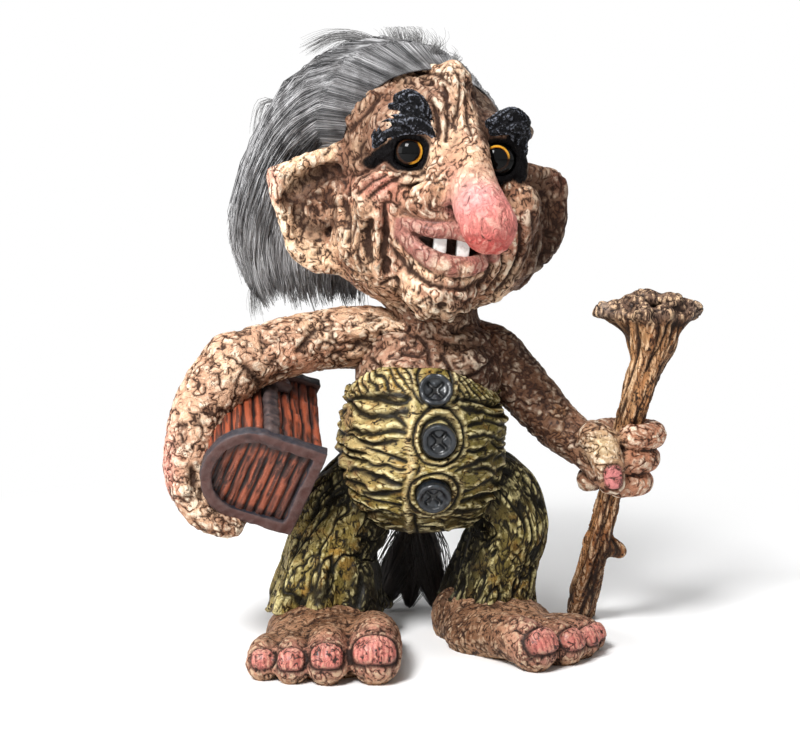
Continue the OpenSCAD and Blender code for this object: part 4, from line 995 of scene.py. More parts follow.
# Locks that fall in front, from behind the right ear to the shoulder
FRONT_LOCKS = [
    [(-76, 27, 246), (-90, 33, 228), (-98, 39, 205), (-96, 43, 184), (-90, 45, 167)],
    [(-66, 20, 246), (-78, 28, 228), (-87, 34, 204), (-85, 39, 184), (-80, 43, 166)],
    [(-55, 12, 247), (-65, 22, 230), (-75, 31, 206), (-75, 36, 184), (-70, 43, 166)],
    [(-47, 7, 243), (-54, 18, 227), (-62, 29, 204), (-64, 36, 184), (-60, 43, 166)],
    [(-41, 10, 234), (-45, 20, 219), (-51, 30, 198), (-53, 36, 182), (-50, 43, 167)],
    [(-33, 14, 224), (-37, 24, 208), (-41, 32, 192), (-43, 38, 178), (-42, 44, 168)],
]

HAIR_MIDDLE = np.array([-14.0, 22.0, 236.0])
# The loose wisps end under the CAD part's top and inside its right side
HAIR_TOP = 315.4
HAIR_RIGHT = -116.0
# Width of a lock, in guides
LOCK = 0.16


def guide_sheet(guides, rows=24):
    """The guides as one grid: each smoothed and cut into rows of equal length."""
    sheet = []
    for g in guides:
        path = smooth_path(g, 6)
        run = np.concatenate([[0], np.cumsum(np.linalg.norm(np.diff(path, axis=0), axis=1))])
        at = np.linspace(0, run[-1], rows)
        sheet.append(np.column_stack([np.interp(at, run, path[:, k]) for k in range(3)]))
    return np.array(sheet)


def on_sheet(sheet, u, t):
    """Places on the sheet: u counts guides and t runs from 0 at the root to 1 at the tip; between guides by the cubic
    that passes through them, and between rows by straight lines."""
    last = len(sheet) - 1
    u = np.clip(u, 0, last - 1e-4)
    i = np.floor(u).astype(int)
    f = (u - i)[..., None]
    rows = sheet.shape[1] - 1
    s = np.clip(t, 0, 0.9999) * rows
    j = np.floor(s).astype(int)
    g = (s - j)[..., None]

    def row(k):
        k = np.clip(k, 0, last)
        return sheet[k, j] * (1 - g) + sheet[k, j + 1] * g

    a, b, c, d = row(i - 1), row(i), row(i + 1), row(i + 2)
    return cubic(a, b, c, d, f)


def tubes(paths, radius):
    """Three-sided tapered tubes along many paths at once: at each step, corners at radius r round two directions
    square to the path."""
    count, rows = paths.shape[:2]
    d = unit(np.gradient(paths, axis=1))
    side = unit(np.cross(d, np.array([0.21, 0.63, 0.74])))
    up = np.cross(side, d)
    a = np.radians([90, 210, 330])
    r = radius[..., None, None]
    ring = (paths[:, :, None] + r * (side[:, :, None] * np.cos(a)[None, None, :, None]
                                     + up[:, :, None] * np.sin(a)[None, None, :, None]))
    points = ring.reshape(-1, 3)
    start = (np.arange(count) * rows * 3)[:, None, None]
    i, k = np.meshgrid(np.arange(rows - 1), np.arange(3), indexing="ij")
    p, q = i * 3 + k, i * 3 + (k + 1) % 3
    quads = np.stack([p, q, q + 3, p + 3], axis=-1).reshape(1, -1, 4) + start
    first = np.array([[2, 1, 0]])[None] + start
    last = np.array([[0, 1, 2]])[None] + start + (rows - 1) * 3
    return points, [quads.reshape(-1, 4), np.vstack([first.reshape(-1, 3), last.reshape(-1, 3)])]


def bundled(name, bundles, material):
    """One mesh of several bundles of tubes, each with its points, its sides, its ends and its colours."""
    points, sides, ends, colours = zip(*bundles)
    start = np.cumsum([0] + [len(p) for p in points])
    groups = [np.vstack([f + s for f, s in zip(faces, start)]) for faces in (sides, ends)]
    return build(name, np.vstack(points), groups, material, {"tint": np.vstack(colours)})


def strand_colours(rng, count, rows, dark, light, streak):
    """Grey of each strand, the same along it, with pale and dark ones mixed in."""
    shade = np.clip(rng.normal(0.42, 0.2, count) + streak, 0, 1)
    base = paint(*dark) * (1 - shade[:, None]) + paint(*light) * shade[:, None]
    return np.repeat(base, rows * 3, axis=0)


def hair_material():
    """Hair: the strand's own grey, darkened in soft patches, with a silky gloss."""
    s = Shader("hair_fibre", Roughness=0.42)
    patch = s.noise(s.places((1, 1, 0.5)), 9.0, 2.0)
    tint = s.attribute("tint", colour=True)
    s.feed(Base_Color=s.blend(patch.above(0.3, 0.62), s.blend(1.0, tint, (0.45, 0.44, 0.44), "MULTIPLY"), tint))
    s.feed(Roughness=s.noise(s.places(), 1.5, 2.0) * 0.3 + 0.3)
    return s.material


def hair_strands(name, seed, count, depth, material, settings, guides, rows=8):
    """A layer of strands on the guide sheet. Each strand keeps to its lock: its place across the sheet is drawn to the
    lock's middle by the share 0.62 t^1.3 as it runs, it lies a little under the sheet, and it waves more to its tip."""
    rng = np.random.default_rng(seed)
    sheet = guide_sheet(guides)
    span = len(guides) - 1
    u0 = rng.uniform(0, span, count)
    middle = (np.floor(u0 / LOCK) + 0.5) * LOCK + rng.normal(0, 0.01, count)
    length = rng.uniform(0.72, 1.0, count) ** 0.7 * (0.93 + 0.07 * np.sin(middle * 17.3) * np.sin(middle * 5.1))
    t = np.linspace(0, 1, rows)[None, :] * length[:, None]
    draw = 0.62 * t ** 1.3
    u = u0[:, None] * (1 - draw) + middle[:, None] * draw
    u = u + 0.16 * np.sin(4.2 * t + middle[:, None] * 5.3) * t
    p = on_sheet(sheet, u, np.broadcast_to(t, u.shape))
    out = unit(p - HAIR_MIDDLE)
    # Locks lie over and under each other, and each strand has its own depth in its lock. The factors of middle in the
    # sines only make neighbouring locks differ.
    lie = 2.2 * np.sin(middle * 23.1)[:, None] * np.sin(np.pi * t) + 1.2
    sink = (rng.uniform(0, 1, count) ** 0.8 * depth)[:, None] * smoothstep(t, -0.05, 0.25)
    lift = lie * smoothstep(t, 0.0, 0.3) - sink
    stray = (rng.uniform(0, 1, count) < 0.09)[:, None] * rng.uniform(0.5, 3.2, count)[:, None] * t ** 1.5
    phase = rng.uniform(0, 6.28, count)[:, None]
    wave = (1.7 * np.sin(10 * t + 0.9 * phase + middle[:, None] * 4.1)
            + 0.9 * np.sin(23 * t + 2 * phase)) * smoothstep(t, 0, 0.25)
    side = unit(np.cross(np.gradient(p, axis=1), out))
    p = (p + out * (lift + stray + 0.5 * wave)[..., None]
         + side * (wave + rng.normal(0, 1.1, count)[:, None] * t)[..., None])
    swell = (0.35 + 0.65 * np.sin(np.pi * np.linspace(0.12, 0.96, rows)))[None, :]
    r = settings.hair_width / 2 * 1000 * swell * rng.uniform(0.75, 1.2, count)[:, None]
    points, groups = tubes(p, r)
    # Each lock has its own grey, and strands that lie deeper in the hair are darker, as painted shade.
    streak = 0.16 * np.sin(middle * 31.7) + 0.10 * np.sin(middle * 7.9) - 0.45 * (sink[:, -1] / max(depth, 1))
    colour = strand_colours(rng, count, rows, (52, 52, 54), (208, 207, 208), streak)
    # Painted shade: darker low down near the neck, on the figure's right.
    low = smoothstep(points[:, 2], 190, 170) * smoothstep(points[:, 0], -70, -52)
    colour = coats(
        colour,
        (0.6 * low, (34, 33, 34)),
        (0.35 * smoothstep(points[:, 2], 236, 200) * (1 - low), (222, 220, 220)),
    )
    return seat(build(name, points, groups, material, {"tint": colour}), "hair")


WISPS = [
    # Path, number of strands, spread at the tip
    ([(-16, 2, 297), (-17, 6, 303), (-20, 9, 308), (-22, 12, 313)], 170, 6.5),
    ([(-12, 0, 297), (-10, 4, 303), (-10, 8, 308), (-13, 11, 311)], 150, 6.0),
    ([(-6, -6, 295), (-3, -2, 300), (0, 3, 303), (-2, 8, 306)], 120, 5.5),
    ([(-26, 6, 296), (-31, 10, 304), (-38, 14, 310), (-46, 17, 312), (-56, 20, 311), (-66, 22, 306)], 70, 3.5),
    ([(-20, 4, 296), (-27, 9, 303), (-34, 13, 308), (-41, 16, 309), (-50, 20, 305)], 60, 4.0),
    ([(-28, 8, 296), (-36, 14, 300), (-43, 18, 305), (-47, 20, 301), (-44, 20, 296), (-38, 20, 296)], 26, 1.6),
    ([(-78, 28, 274), (-86, 32, 279), (-92, 34, 278), (-95, 36, 271), (-96, 38, 262)], 22, 3.0),
    ([(-90, 36, 250), (-97, 38, 244), (-100, 40, 237), (-103, 41, 230)], 60, 2.5),
    ([(-90, 44, 222), (-98, 46, 217), (-104, 47, 208), (-103, 48, 198), (-97, 49, 190)], 80, 3.0),
    ([(-94, 47, 190), (-98, 49, 180), (-99, 50, 172), (-98, 51, 165)], 50, 3.0),
    ([(4, -14, 292), (8, -8, 297), (10, 0, 299), (8, 8, 301)], 40, 3.5),
]


def wisp_strands(name, material, settings, seed=71, rows=9):
    """Loose wisps on the crown and at the sides: strands that spread from each path in proportion to t."""
    rng = np.random.default_rng(seed)
    bundles = []
    for path, count, spread in WISPS:
        sheet = guide_sheet([path], rows)[0]
        t = np.linspace(0, 1, rows)
        off = rng.normal(0, 1, (count, 1, 3)) * (0.9 + spread * 0.45 * t ** 1.3)[None, :, None]
        curl = 0.8 * np.sin(6 * t[None, :] + rng.uniform(0, 6.28, count)[:, None]) * t[None, :]
        p = sheet[None] + off + curl[..., None] * np.array([0.6, 0.5, 0.6])
        p[:, :, 2] = np.minimum(p[:, :, 2], HAIR_TOP)
        p[:, :, 0] = np.maximum(p[:, :, 0], HAIR_RIGHT)
        r = settings.hair_width / 2 * 1000 * 0.8 * (1 - 0.75 * t)[None, :] * np.ones((count, 1))
        points, groups = tubes(p, r)
        bundles.append((points, *groups, strand_colours(rng, count, rows, (80, 79, 79), (200, 199, 198), 0.0)))
    return seat(bundled(name, bundles, material), "hair")


def hair_under(material, step):
    """The mass under the strands: the stretched ball and the thick locks that fall from it, grooved along their run.
    Its front is a plane that leans back by 29 degrees from the head's front."""
    b = Block((-108, -40, 158), (50, 96, 312), step)
    middle = to_model(np.array([-22.8, 16.5, 21.0]))
    b.join(ball(middle, (48, 60, 48)), 6)
    for c in ([(-56, 38, 262, 18), (-70, 41, 238, 20), (-80, 46, 208, 16), (-80, 52, 190, 10)],
              [(-36, 54, 262, 24), (-54, 60, 230, 25), (-60, 62, 200, 17), (-60, 60, 186, 8)],
              [(-10, 60, 262, 24), (-14, 62, 228, 23), (-16, 62, 202, 16), (-20, 60, 188, 8)],
              [(12, 54, 256, 20), (14, 58, 226, 19), (12, 58, 204, 13), (8, 58, 190, 6)]):
        b.join(limb(c, 5), 9)

    def before_hairline(x, y, z):
        a = HEAD_PLACE[:, 1] * math.cos(math.radians(29)) + HEAD_PLACE[:, 2] * math.sin(math.radians(29))
        return a[0] * (x - HEAD_MID[0]) + a[1] * (y - HEAD_MID[1]) + a[2] * (z - HEAD_MID[2]) - 16

    b.carve(Form((-110, -60, 150), (70, 60, 320), before_hairline), 4)
    p, faces = b.skin()
    n = normals(p, [faces])
    ripple = carved_lines(p * (1, 1, 0.25), 4.5, 61, 0.3)
    q = p + n * (0.8 * noise(p * (1, 1, 0.3), 4, 62) - 0.7 * ripple)[:, None]
    shade = smoothstep(noise(p * (1, 1, 0.3), 5, 63), -0.5, 0.5)
    # Painted shade: near-black grey for the shade deep under the strands.
    colour = coats(paint(44, 43, 44), (shade * 0.7, (84, 83, 84)))
    return seat(build("hair_under", q, [faces], material, {"tint": colour}), "hair", "hair", "wig_skin")


def backing_material():
    """Mass under the strands, painted near-black as the shade deep in the hair, with fine streaks along the fall of the
    hair.
    """
    s = Shader("hair_backing", Roughness=0.6)
    streak = s.noise(s.places((1, 1, 0.15)), 0.8, 3.0)
    tint = s.attribute("tint", colour=True)
    s.feed(Base_Color=s.blend(streak.above(0.35, 0.7) * 0.7, tint, (0.012, 0.012, 0.012)),
           Normal=s.bump(streak, 0.8, 0.6))
    return s.material


# Body, arms and feet

def flesh_cuts(p, seed, size):
    """Height and mark of the carver's cuts on bare skin: two nets of narrow lines, each kept only in patches."""
    a = carved_lines(p, size, seed, 0.13) * smoothstep(noise(p, size, seed + 9), -0.3, 0.2)
    b = carved_lines(p, size * 0.55, seed + 3, 0.14) * smoothstep(noise(p, size * 0.7, seed + 10), -0.25, 0.25)
    height = -0.85 * a - 0.6 * b + 0.5 * layered(p, size * 0.5, seed + 4, 2)
    return height, np.clip(0.7 * a + 0.55 * b, 0, 1)


def flesh_piece(name, block, extra, colours, material, seed, slot, node, size=8.0, floor=None):
    """A cast limb: the block's skin with the carver's cuts and its extra heights and marks, then washed and tinted."""
    p, faces = block.skin()
    n = normals(p, [faces])
    height, mark = flesh_cuts(p, seed, size)
    more, more_mark, keep = extra(p, n)
    mark = np.maximum(mark * keep, more_mark)
    q = p + n * (height * keep + more)[:, None]
    if floor is not None:
        low = p[:, 2] < floor + block.step
        q[low, 2] = floor
        q[:, 2] = np.maximum(q[:, 2], floor)
    n = normals(q, [faces])
    wash, ridge = wash_and_shade_marks(q, n, faces, mark)
    colour, wash, ridge, gloss = colours(q, n, wash, ridge)
    piece = build(name, q, [faces], material,
                  {"tint": colour, "wash": np.clip(wash, 0, 1), "ridge": ridge, "gloss": gloss})
    return seat(piece, slot, node)


def nail_place(p, mid, face, across, a, b):
    """Ellipse number of a nail, 1 on its rim, 0 at its middle and 9 far away, and the place across it."""
    face, across = unit(face), unit(across)
    up = np.cross(face, across)
    off = p - np.asarray(mid, float)
    u, v, w = off @ across, off @ up, off @ face
    e = (np.abs(u / a) ** 2.6 + np.abs(v / b) ** 2.6) ** (1 / 2.6)
    return np.where(np.abs(w) < max(a, b) * 0.9, e, 9.0), u


def nail_relief(e):
    """Raised plate inside the rim, and a groove exp(-((e - 1.1) / 0.13)^2) round it."""
    plate = smoothstep(e, 1.05, 0.9)
    groove = np.exp(-((e - 1.12) / 0.13) ** 2)
    return 0.5 * plate - 1.3 * groove, groove


def trunk_piece(step, material):
    """Bare trunk between the bib and the chin: chest, shoulders, collar bones and breasts blended."""
    b = Block((-56, -40, 124), (52, 48, 184), step)
    b.join(ball((-4, 4, 138), (38.5, 32, 26)), 4)
    b.join(limb([(0, 9, 148, 24), (0, 10, 172, 21)], 2), 10)
    x = -3
    for side in (-1, 1):
        b.join(limb([(x + side * 14, 10, 155, 10), (x + side * 27, 9, 150 - side * 2, 14)], 2), 6)
        b.join(ball((x + side * 15, -17, 145), (14, 10, 8.5)), 4)
        b.join(limb([(x + side * 3, -17, 160, 3), (x + side * 14, -16, 157, 3.6), (x + side * 26, -6, 156, 4)], 4), 4)
    b.join(limb([(-14, -14, 168, 4), (-2, -17, 164, 4), (12, -13, 168, 4)], 4), 4)

    def more(p, n):
        lines = [[(-14, 160), (-6, 155), (-4, 146)], [(-34, 147), (-22, 138), (-10, 137)],
                 [(6, 138), (18, 139), (28, 146)], [(-18, 152), (-10, 150), (-6, 153)],
                 [(2, 150), (6, 143), (8, 139)]]
        mark = creases(p[:, [0, 2]], lines, 1.3) * smoothstep(-n[:, 1], -0.1, 0.3)
        return -1.7 * mark, mark, 1

    def colours(q, n, wash, ridge):
        # Painted shade: the whole trunk darker, lying under the head, and darker on the figure's left side and towards
        # the back.
        c = coats(
            skin_paint(q, 5),
            (0.7, (122, 86, 68)),
            (0.6 * blob(q[:, [0, 2]], (-18, 146), (12, 8)), (206, 150, 128)),
            (smoothstep(q[:, 0], 0, 26) * 0.8, (84, 58, 46)),
            (smoothstep(q[:, 1], 5, 30) * 0.5, (140, 98, 70)),
        )
        # Painted shade: a dark band under the chin.
        wash = np.maximum(wash, 0.55 * smoothstep(q[:, 2], 160, 170) * (q[:, 1] < 8))
        return c, wash, 0.5 * ridge, 0.05

    return flesh_piece("trunk_casting", b, more, colours, material, 81, "skin", "trunk")


# Paths of x, y, z and radius
RIGHT_ARM = [(-22, 9, 154, 14.5), (-36, 7, 156, 16.5), (-60, 0, 155, 15.6), (-86, -12, 150, 15.6),
             (-105, -20, 141, 16.6), (-118, -27, 122, 16), (-123, -32, 100, 14.6), (-121, -35, 84, 13.2),
             (-116, -35, 74, 10)]


def right_arm_piece(step, material):
    """Right arm: a thick limb out, down round the chest and under it, with a fold at the elbow and three fingers."""
    b = Block((-141, -64, 50), (-2, 32, 178), step)
    b.join(limb(RIGHT_ARM, 6), 4)
    b.join(ball((-48, 4, 160), (20, 13, 9)), 6)
    b.join(ball((-72, -8, 158), (14, 10, 8)), 5)
    b.join(ball((-106, -20, 150), (11, 12, 10)), 5)
    b.join(ball((-126, -33, 96), (9.5, 12, 20)), 5)
    for y in (-45, -31, -17):
        b.join(limb([(-125, y, 84, 7.4), (-118, y, 73, 7.2), (-109, y, 67.5, 6.4), (-102, y + 1, 66, 5.2)], 4), 2.2)
    b.join(limb([(-16, -6, 160, 4), (-34, -8, 163, 5), (-52, -10, 160, 4)], 4), 5)

    def more(p, n):
        mark = creases(p, [
            [(-98, -38, 150), (-92, -32, 140), (-88, -26, 134)], [(-104, -42, 142), (-99, -38, 132), (-98, -34, 126)],
            [(-110, -48, 128), (-104, -46, 124)], [(-40, -12, 154), (-30, -10, 150), (-22, -12, 142)],
            [(-34, -8, 166), (-28, -10, 158), (-18, -12, 152)], [(-62, -16, 162), (-70, -22, 152)],
            [(-122, -48, 96), (-120, -48, 88)]], 1.6 * np.array([1.5, 1.3, 1.3, 1.6, 1.4, 1.2, 1.4]))
        hole = np.exp(-(np.linalg.norm(p - (-121, -47.5, 92), axis=1) / 3.0) ** 2)
        return -1.5 * mark - 1.6 * hole, np.maximum(mark, hole), 1

    def colours(q, n, wash, ridge):
        # Painted light and shade: paler all over on the figure's lit right side, darker where the arm faces down and
        # towards the back; darker too towards the hand.
        c = coats(
            skin_paint(q, 6),
            (0.35, (228, 188, 158)),
            (smoothstep(n[:, 2], 0.1, -0.7) * 0.6, (132, 84, 50)),
            (blob(q[:, [0, 2]], (-136, 96), (7, 24)) * 0.85, (226, 150, 136)),
            (blob(q[:, [0, 2]], (-68, 148), (16, 9)) * 0.45, (206, 132, 106)),
            (smoothstep(q[:, 1], -4, 14) * 0.45, (150, 104, 74)),
            (smoothstep(q[:, 2], 78, 64) * 0.5, (150, 98, 70)),
        )
        # Painted shade in the armpit, against the trunk.
        wash = np.maximum(wash, 0.6 * smoothstep(near_line(q, [(-40, 4, 146), (-20, 6, 146)]), 11, 4))
        return c, wash, ridge, 0.06

    return flesh_piece("right_arm_casting", b, more, colours, material, 91, "skin", "right_arm")


LEFT_ARM = [(20, 12, 150, 14), (36, 12, 140, 15), (52, 9, 122, 14), (66, 2, 108, 12.4), (78, -7, 100, 11)]
FIST = np.array([95.0, -6.0, 94.0])
# Radius of the stick in the fist, and from there to the middle of a finger
STICK_GRIP, FINGER = 7, 5.6
THUMB_NAIL = ((88.5, -35.2, 89), (0.1, -1, -0.12), (1, 0.1, 0.1), 4.6, 6.0)


def left_arm_piece(step, material):
    """Left arm: a limb down to the fist, three blocky fingers from the palm round the stick, and the thumb in front."""
    b = Block((2, -46, 62), (124, 34, 172), step)
    b.join(limb(LEFT_ARM, 6), 4)
    b.join(ball((28, 10, 150), (15, 14, 12)), 6)
    b.join(ball((86, -10, 96), (11.5, 12.5, 16)), 5)
    for k in range(3):
        z = FIST[2] + 13 - 12.4 * k
        x = FIST[0] + (z - FIST[2]) * 0.23
        reach = STICK_GRIP + FINGER
        a = np.radians([158, 110, 60, 20, -20, -55, -85])
        r = (6.9, 6.7, 6.3)[k]
        ring = np.column_stack([x + reach * 1.12 * np.cos(a), FIST[1] + reach * np.sin(a), np.full(7, z),
                                np.full(7, r)])
        b.join(limb(ring, 3), 1.4)
    b.join(limb([(80, -15, 107, 8.5), (84, -22, 101, 8.6), (86.5, -26.5, 94, 8), (88, -28, 86, 6.9)], 5), 3)
    b.join(ball((84, -18, 104), (9, 9, 8)), 3)

    def more(p, n):
        e, _ = nail_place(p, *THUMB_NAIL)
        height, groove = nail_relief(e)
        near = p[:, 1] < -24
        height, groove = height * near, groove * near
        mark = creases(p, [
            [(60, -9, 122), (70, -12, 112), (82, -18, 114)], [(92, -22, 103), (95, -18, 98), (96, -20, 90)],
            [(78, -14, 95), (84, -22, 88)], [(106, -19, 108), (105, -20, 102)],
            [(107, -18, 95), (106, -19, 89)]], 1.6, 1)
        hand = smoothstep(p[:, 0], 70, 84)
        return height - 1.0 * mark, np.maximum(mark, groove), 1 - 0.5 * hand - 0.4 * (e < 1.2) * near

    def colours(q, n, wash, ridge):
        hand = smoothstep(q[:, 0], 62, 84)
        e, _ = nail_place(q, *THUMB_NAIL)
        nail = smoothstep(e, 1.08, 0.95) * (q[:, 1] < -24)
        # Painted light and shade: the dark brown base is painted shade on the figure's dark left side; the hand is
        # paler in the light, with a painted cream highlight at the thumb's root; the arm keeps less dry brush than the
        # hand.
        c = coats(
            paint(104, 74, 56),
            (smoothstep(layered(q, 12, 7), -0.2, 0.6) * 0.6, (140, 102, 72)),
            (smoothstep(q[:, 0], 40, 20) * 0.35, (134, 84, 62)),
            (hand * 0.85, (170, 124, 98)),
            (hand * blob(q, (83, -26, 103), (9, 14, 9)) * 0.9, (238, 208, 160)),
            (smoothstep(q[:, 0], 92, 100) * 0.7, (190, 130, 100)),
            (nail * 0.95, (204, 124, 122)),
        )
        ridge = ridge * (0.45 + 0.55 * hand) * (1 - nail)
        return c, wash * (1 - 0.8 * nail), ridge, 0.08 + 0.3 * nail

    return flesh_piece("left_arm_casting", b, more, colours, material, 101, "skin", "left_arm", 7.0)


def foot_piece(name, node, heel, angle, toes, length, w, material, seed, step):
    """Broad bare foot of a length and width w: heel, instep and ball of the foot blended, with thick toes and nails."""
    place = turn(2, angle)

    def at(p):
        return np.asarray(p, float) @ place.T + np.asarray(heel, float)

    span = np.array([at((sx * w * 0.56, y, z)) for sx in (-1, 1) for y in (30, -length - 4) for z in (0, 34)])
    low, high = span.min(axis=0) - 3, span.max(axis=0) + 3
    low[2] = -6
    b = Block(low, high, step)
    b.join(ball(at((0, -4, 9)), (w * 0.32, w * 0.32, 19)), 6)
    b.join(ball(at((0, -length * 0.30, 8)), (w * 0.41, length * 0.38, 16), place.T), 8)
    b.join(ball(at((0, -length * 0.64, 7)), (w * 0.46, length * 0.25, 12.5), place.T), 8)
    for x, y, r, _, _ in toes:
        a = at((x * 0.96, y + r * 4.6, r * 0.8))
        m = at((x, y + r * 2.2, r * 1.12))
        e = at((x, y + r * 1.02, r * 0.92))
        b.join(limb([(*a, r * 0.92), (*m, r * 1.0), (*e, r * 1.0)], 4), 2.0)
    b.keep_above(0.0)
    tips = []
    for x, y, r, wide, tall in toes:
        face = np.array([0.0, -1.0, 0.75]) @ place.T
        mid = at((x, y + r * 1.02, r * 0.92)) + unit(face) * r * 1.0
        tips.append((mid, face, np.array([1.0, 0, 0]) @ place.T, wide, tall))

    def nearest(p):
        """The smallest nail number of all toes, and the place across that nail."""
        best, across = np.full(len(p), 9.0), np.zeros(len(p))
        for tip in tips:
            e, u = nail_place(p, *tip)
            across = np.where(e < best, u, across)
            best = np.minimum(best, e)
        return best, across

    def more(p, n):
        e, u = nearest(p)
        height, groove = nail_relief(e)
        stripes = 0.22 * np.sin(u * 2.6 + noise(p, 3, seed)) * (e < 0.9)
        mark = 0.8 * creases(p, [[at((x - r * 0.7, y + r * 3.2, r * 2.2)), at((x, y + r * 2.9, r * 2.4)),
                                  at((x + r * 0.8, y + r * 3.3, r * 2.1))] for x, y, r, _, _ in toes], 1.4, 3)
        return height + stripes - 1.0 * mark, np.maximum(mark, groove), np.where(e < 1.2, 0.2, 0.8)

    def colours(q, n, wash, ridge):
        e, u = nearest(q)
        toe = np.zeros(len(q))
        for tip in tips:
            toe = np.maximum(toe, np.exp(-(np.linalg.norm(q - tip[0], axis=1) / (tip[3] * 1.9)) ** 2))
        nail = smoothstep(e, 1.02, 0.92)
        stripe = smoothstep(np.sin(u * 2.6 + noise(q, 3, seed)), -0.2, -0.9)
        rim = np.exp(-((e - 1.10) / 0.11) ** 2) * (0.6 + 0.4 * noise(q, 3, seed + 4))
        c = coats(
            paint(126, 90, 66),
            (smoothstep(layered(q, 14, seed), -0.3, 0.5), (168, 126, 96)),
            (toe * 0.7, (212, 148, 134)),
            (smoothstep(q[:, 2], 7, 1) * 0.5, (196, 156, 118)),
            (nail * 0.92, (206, 124, 112)),
            (nail * stripe * 0.65, (132, 58, 58)),
            # Painted highlight: paler on the nails where they face up.
            (nail * smoothstep(n[:, 2], 0.5, 0.9) * 0.4, (232, 168, 152)),
            (rim * 0.85, (56, 26, 32)),
        )
        return c, wash * (1 - 0.75 * nail), ridge * (1 - 0.6 * nail), 0.08 + 0.3 * nail

    return flesh_piece(name, b, more, colours, material, seed, "foot_skin", node, floor=0.0)


# Trousers

# Height of each button, its place across and how far it looks down in degrees
BUTTONS = [(133, 6, -24), (111, 7.5, 2), (84, 5, 24)]
# Height, middle y, half width and half depth of the belly
BELLY = np.array([(57, 0, 17.2, 16.3), (59.5, 0, 25.5, 24.5), (62, 0, 31, 30.6), (74, -2, 40.4, 43.9),
                  (95, -4, 43, 51), (112, -4, 43, 49), (126, -3, 40, 42.5), (134, -2, 36.8, 37.7),
                  (136.6, -1.5, 35.2, 35.5)])
BELLY_X = -7.5


def belly_at(a, z):
    """Belly: an ellipse at each height, x = mid + half width sin(a), y = mid - half depth cos(a), a = 0 in front."""
    y, rx, ry = (np.interp(z, BELLY[:, 0], BELLY[:, k]) for k in (1, 2, 3))
    return np.stack([BELLY_X + rx * np.sin(a), y - ry * np.cos(a), z + 0 * a], axis=-1)


def cloth_paint(q, n, seed):
    """Olive cloth in patches of khaki and ochre, with painted shade on the faces that look down."""
    return coats(
        paint(138, 122, 62),
        (smoothstep(layered(q, 13, seed), -0.1, 0.5) * 0.7, (166, 142, 74)),
        (smoothstep(layered(q, 7, seed + 3), 0.15, 0.6) * 0.6, (178, 132, 58)),
        (smoothstep(n[:, 2], -0.1, -0.8) * 0.6, (58, 52, 30)),
    )


def button_place(level, across, tip):
    """The way a button faces, tipped down by tip degrees, and its middle on the belly."""
    t = math.radians(tip)
    rise = 2.5 if level < 130 else 0.2
    front = np.interp(level, BELLY[:, 0], BELLY[:, 1] - BELLY[:, 3])
    return np.array([0, -math.cos(t), -math.sin(t)]), np.array([BELLY_X + across, front + rise, level])


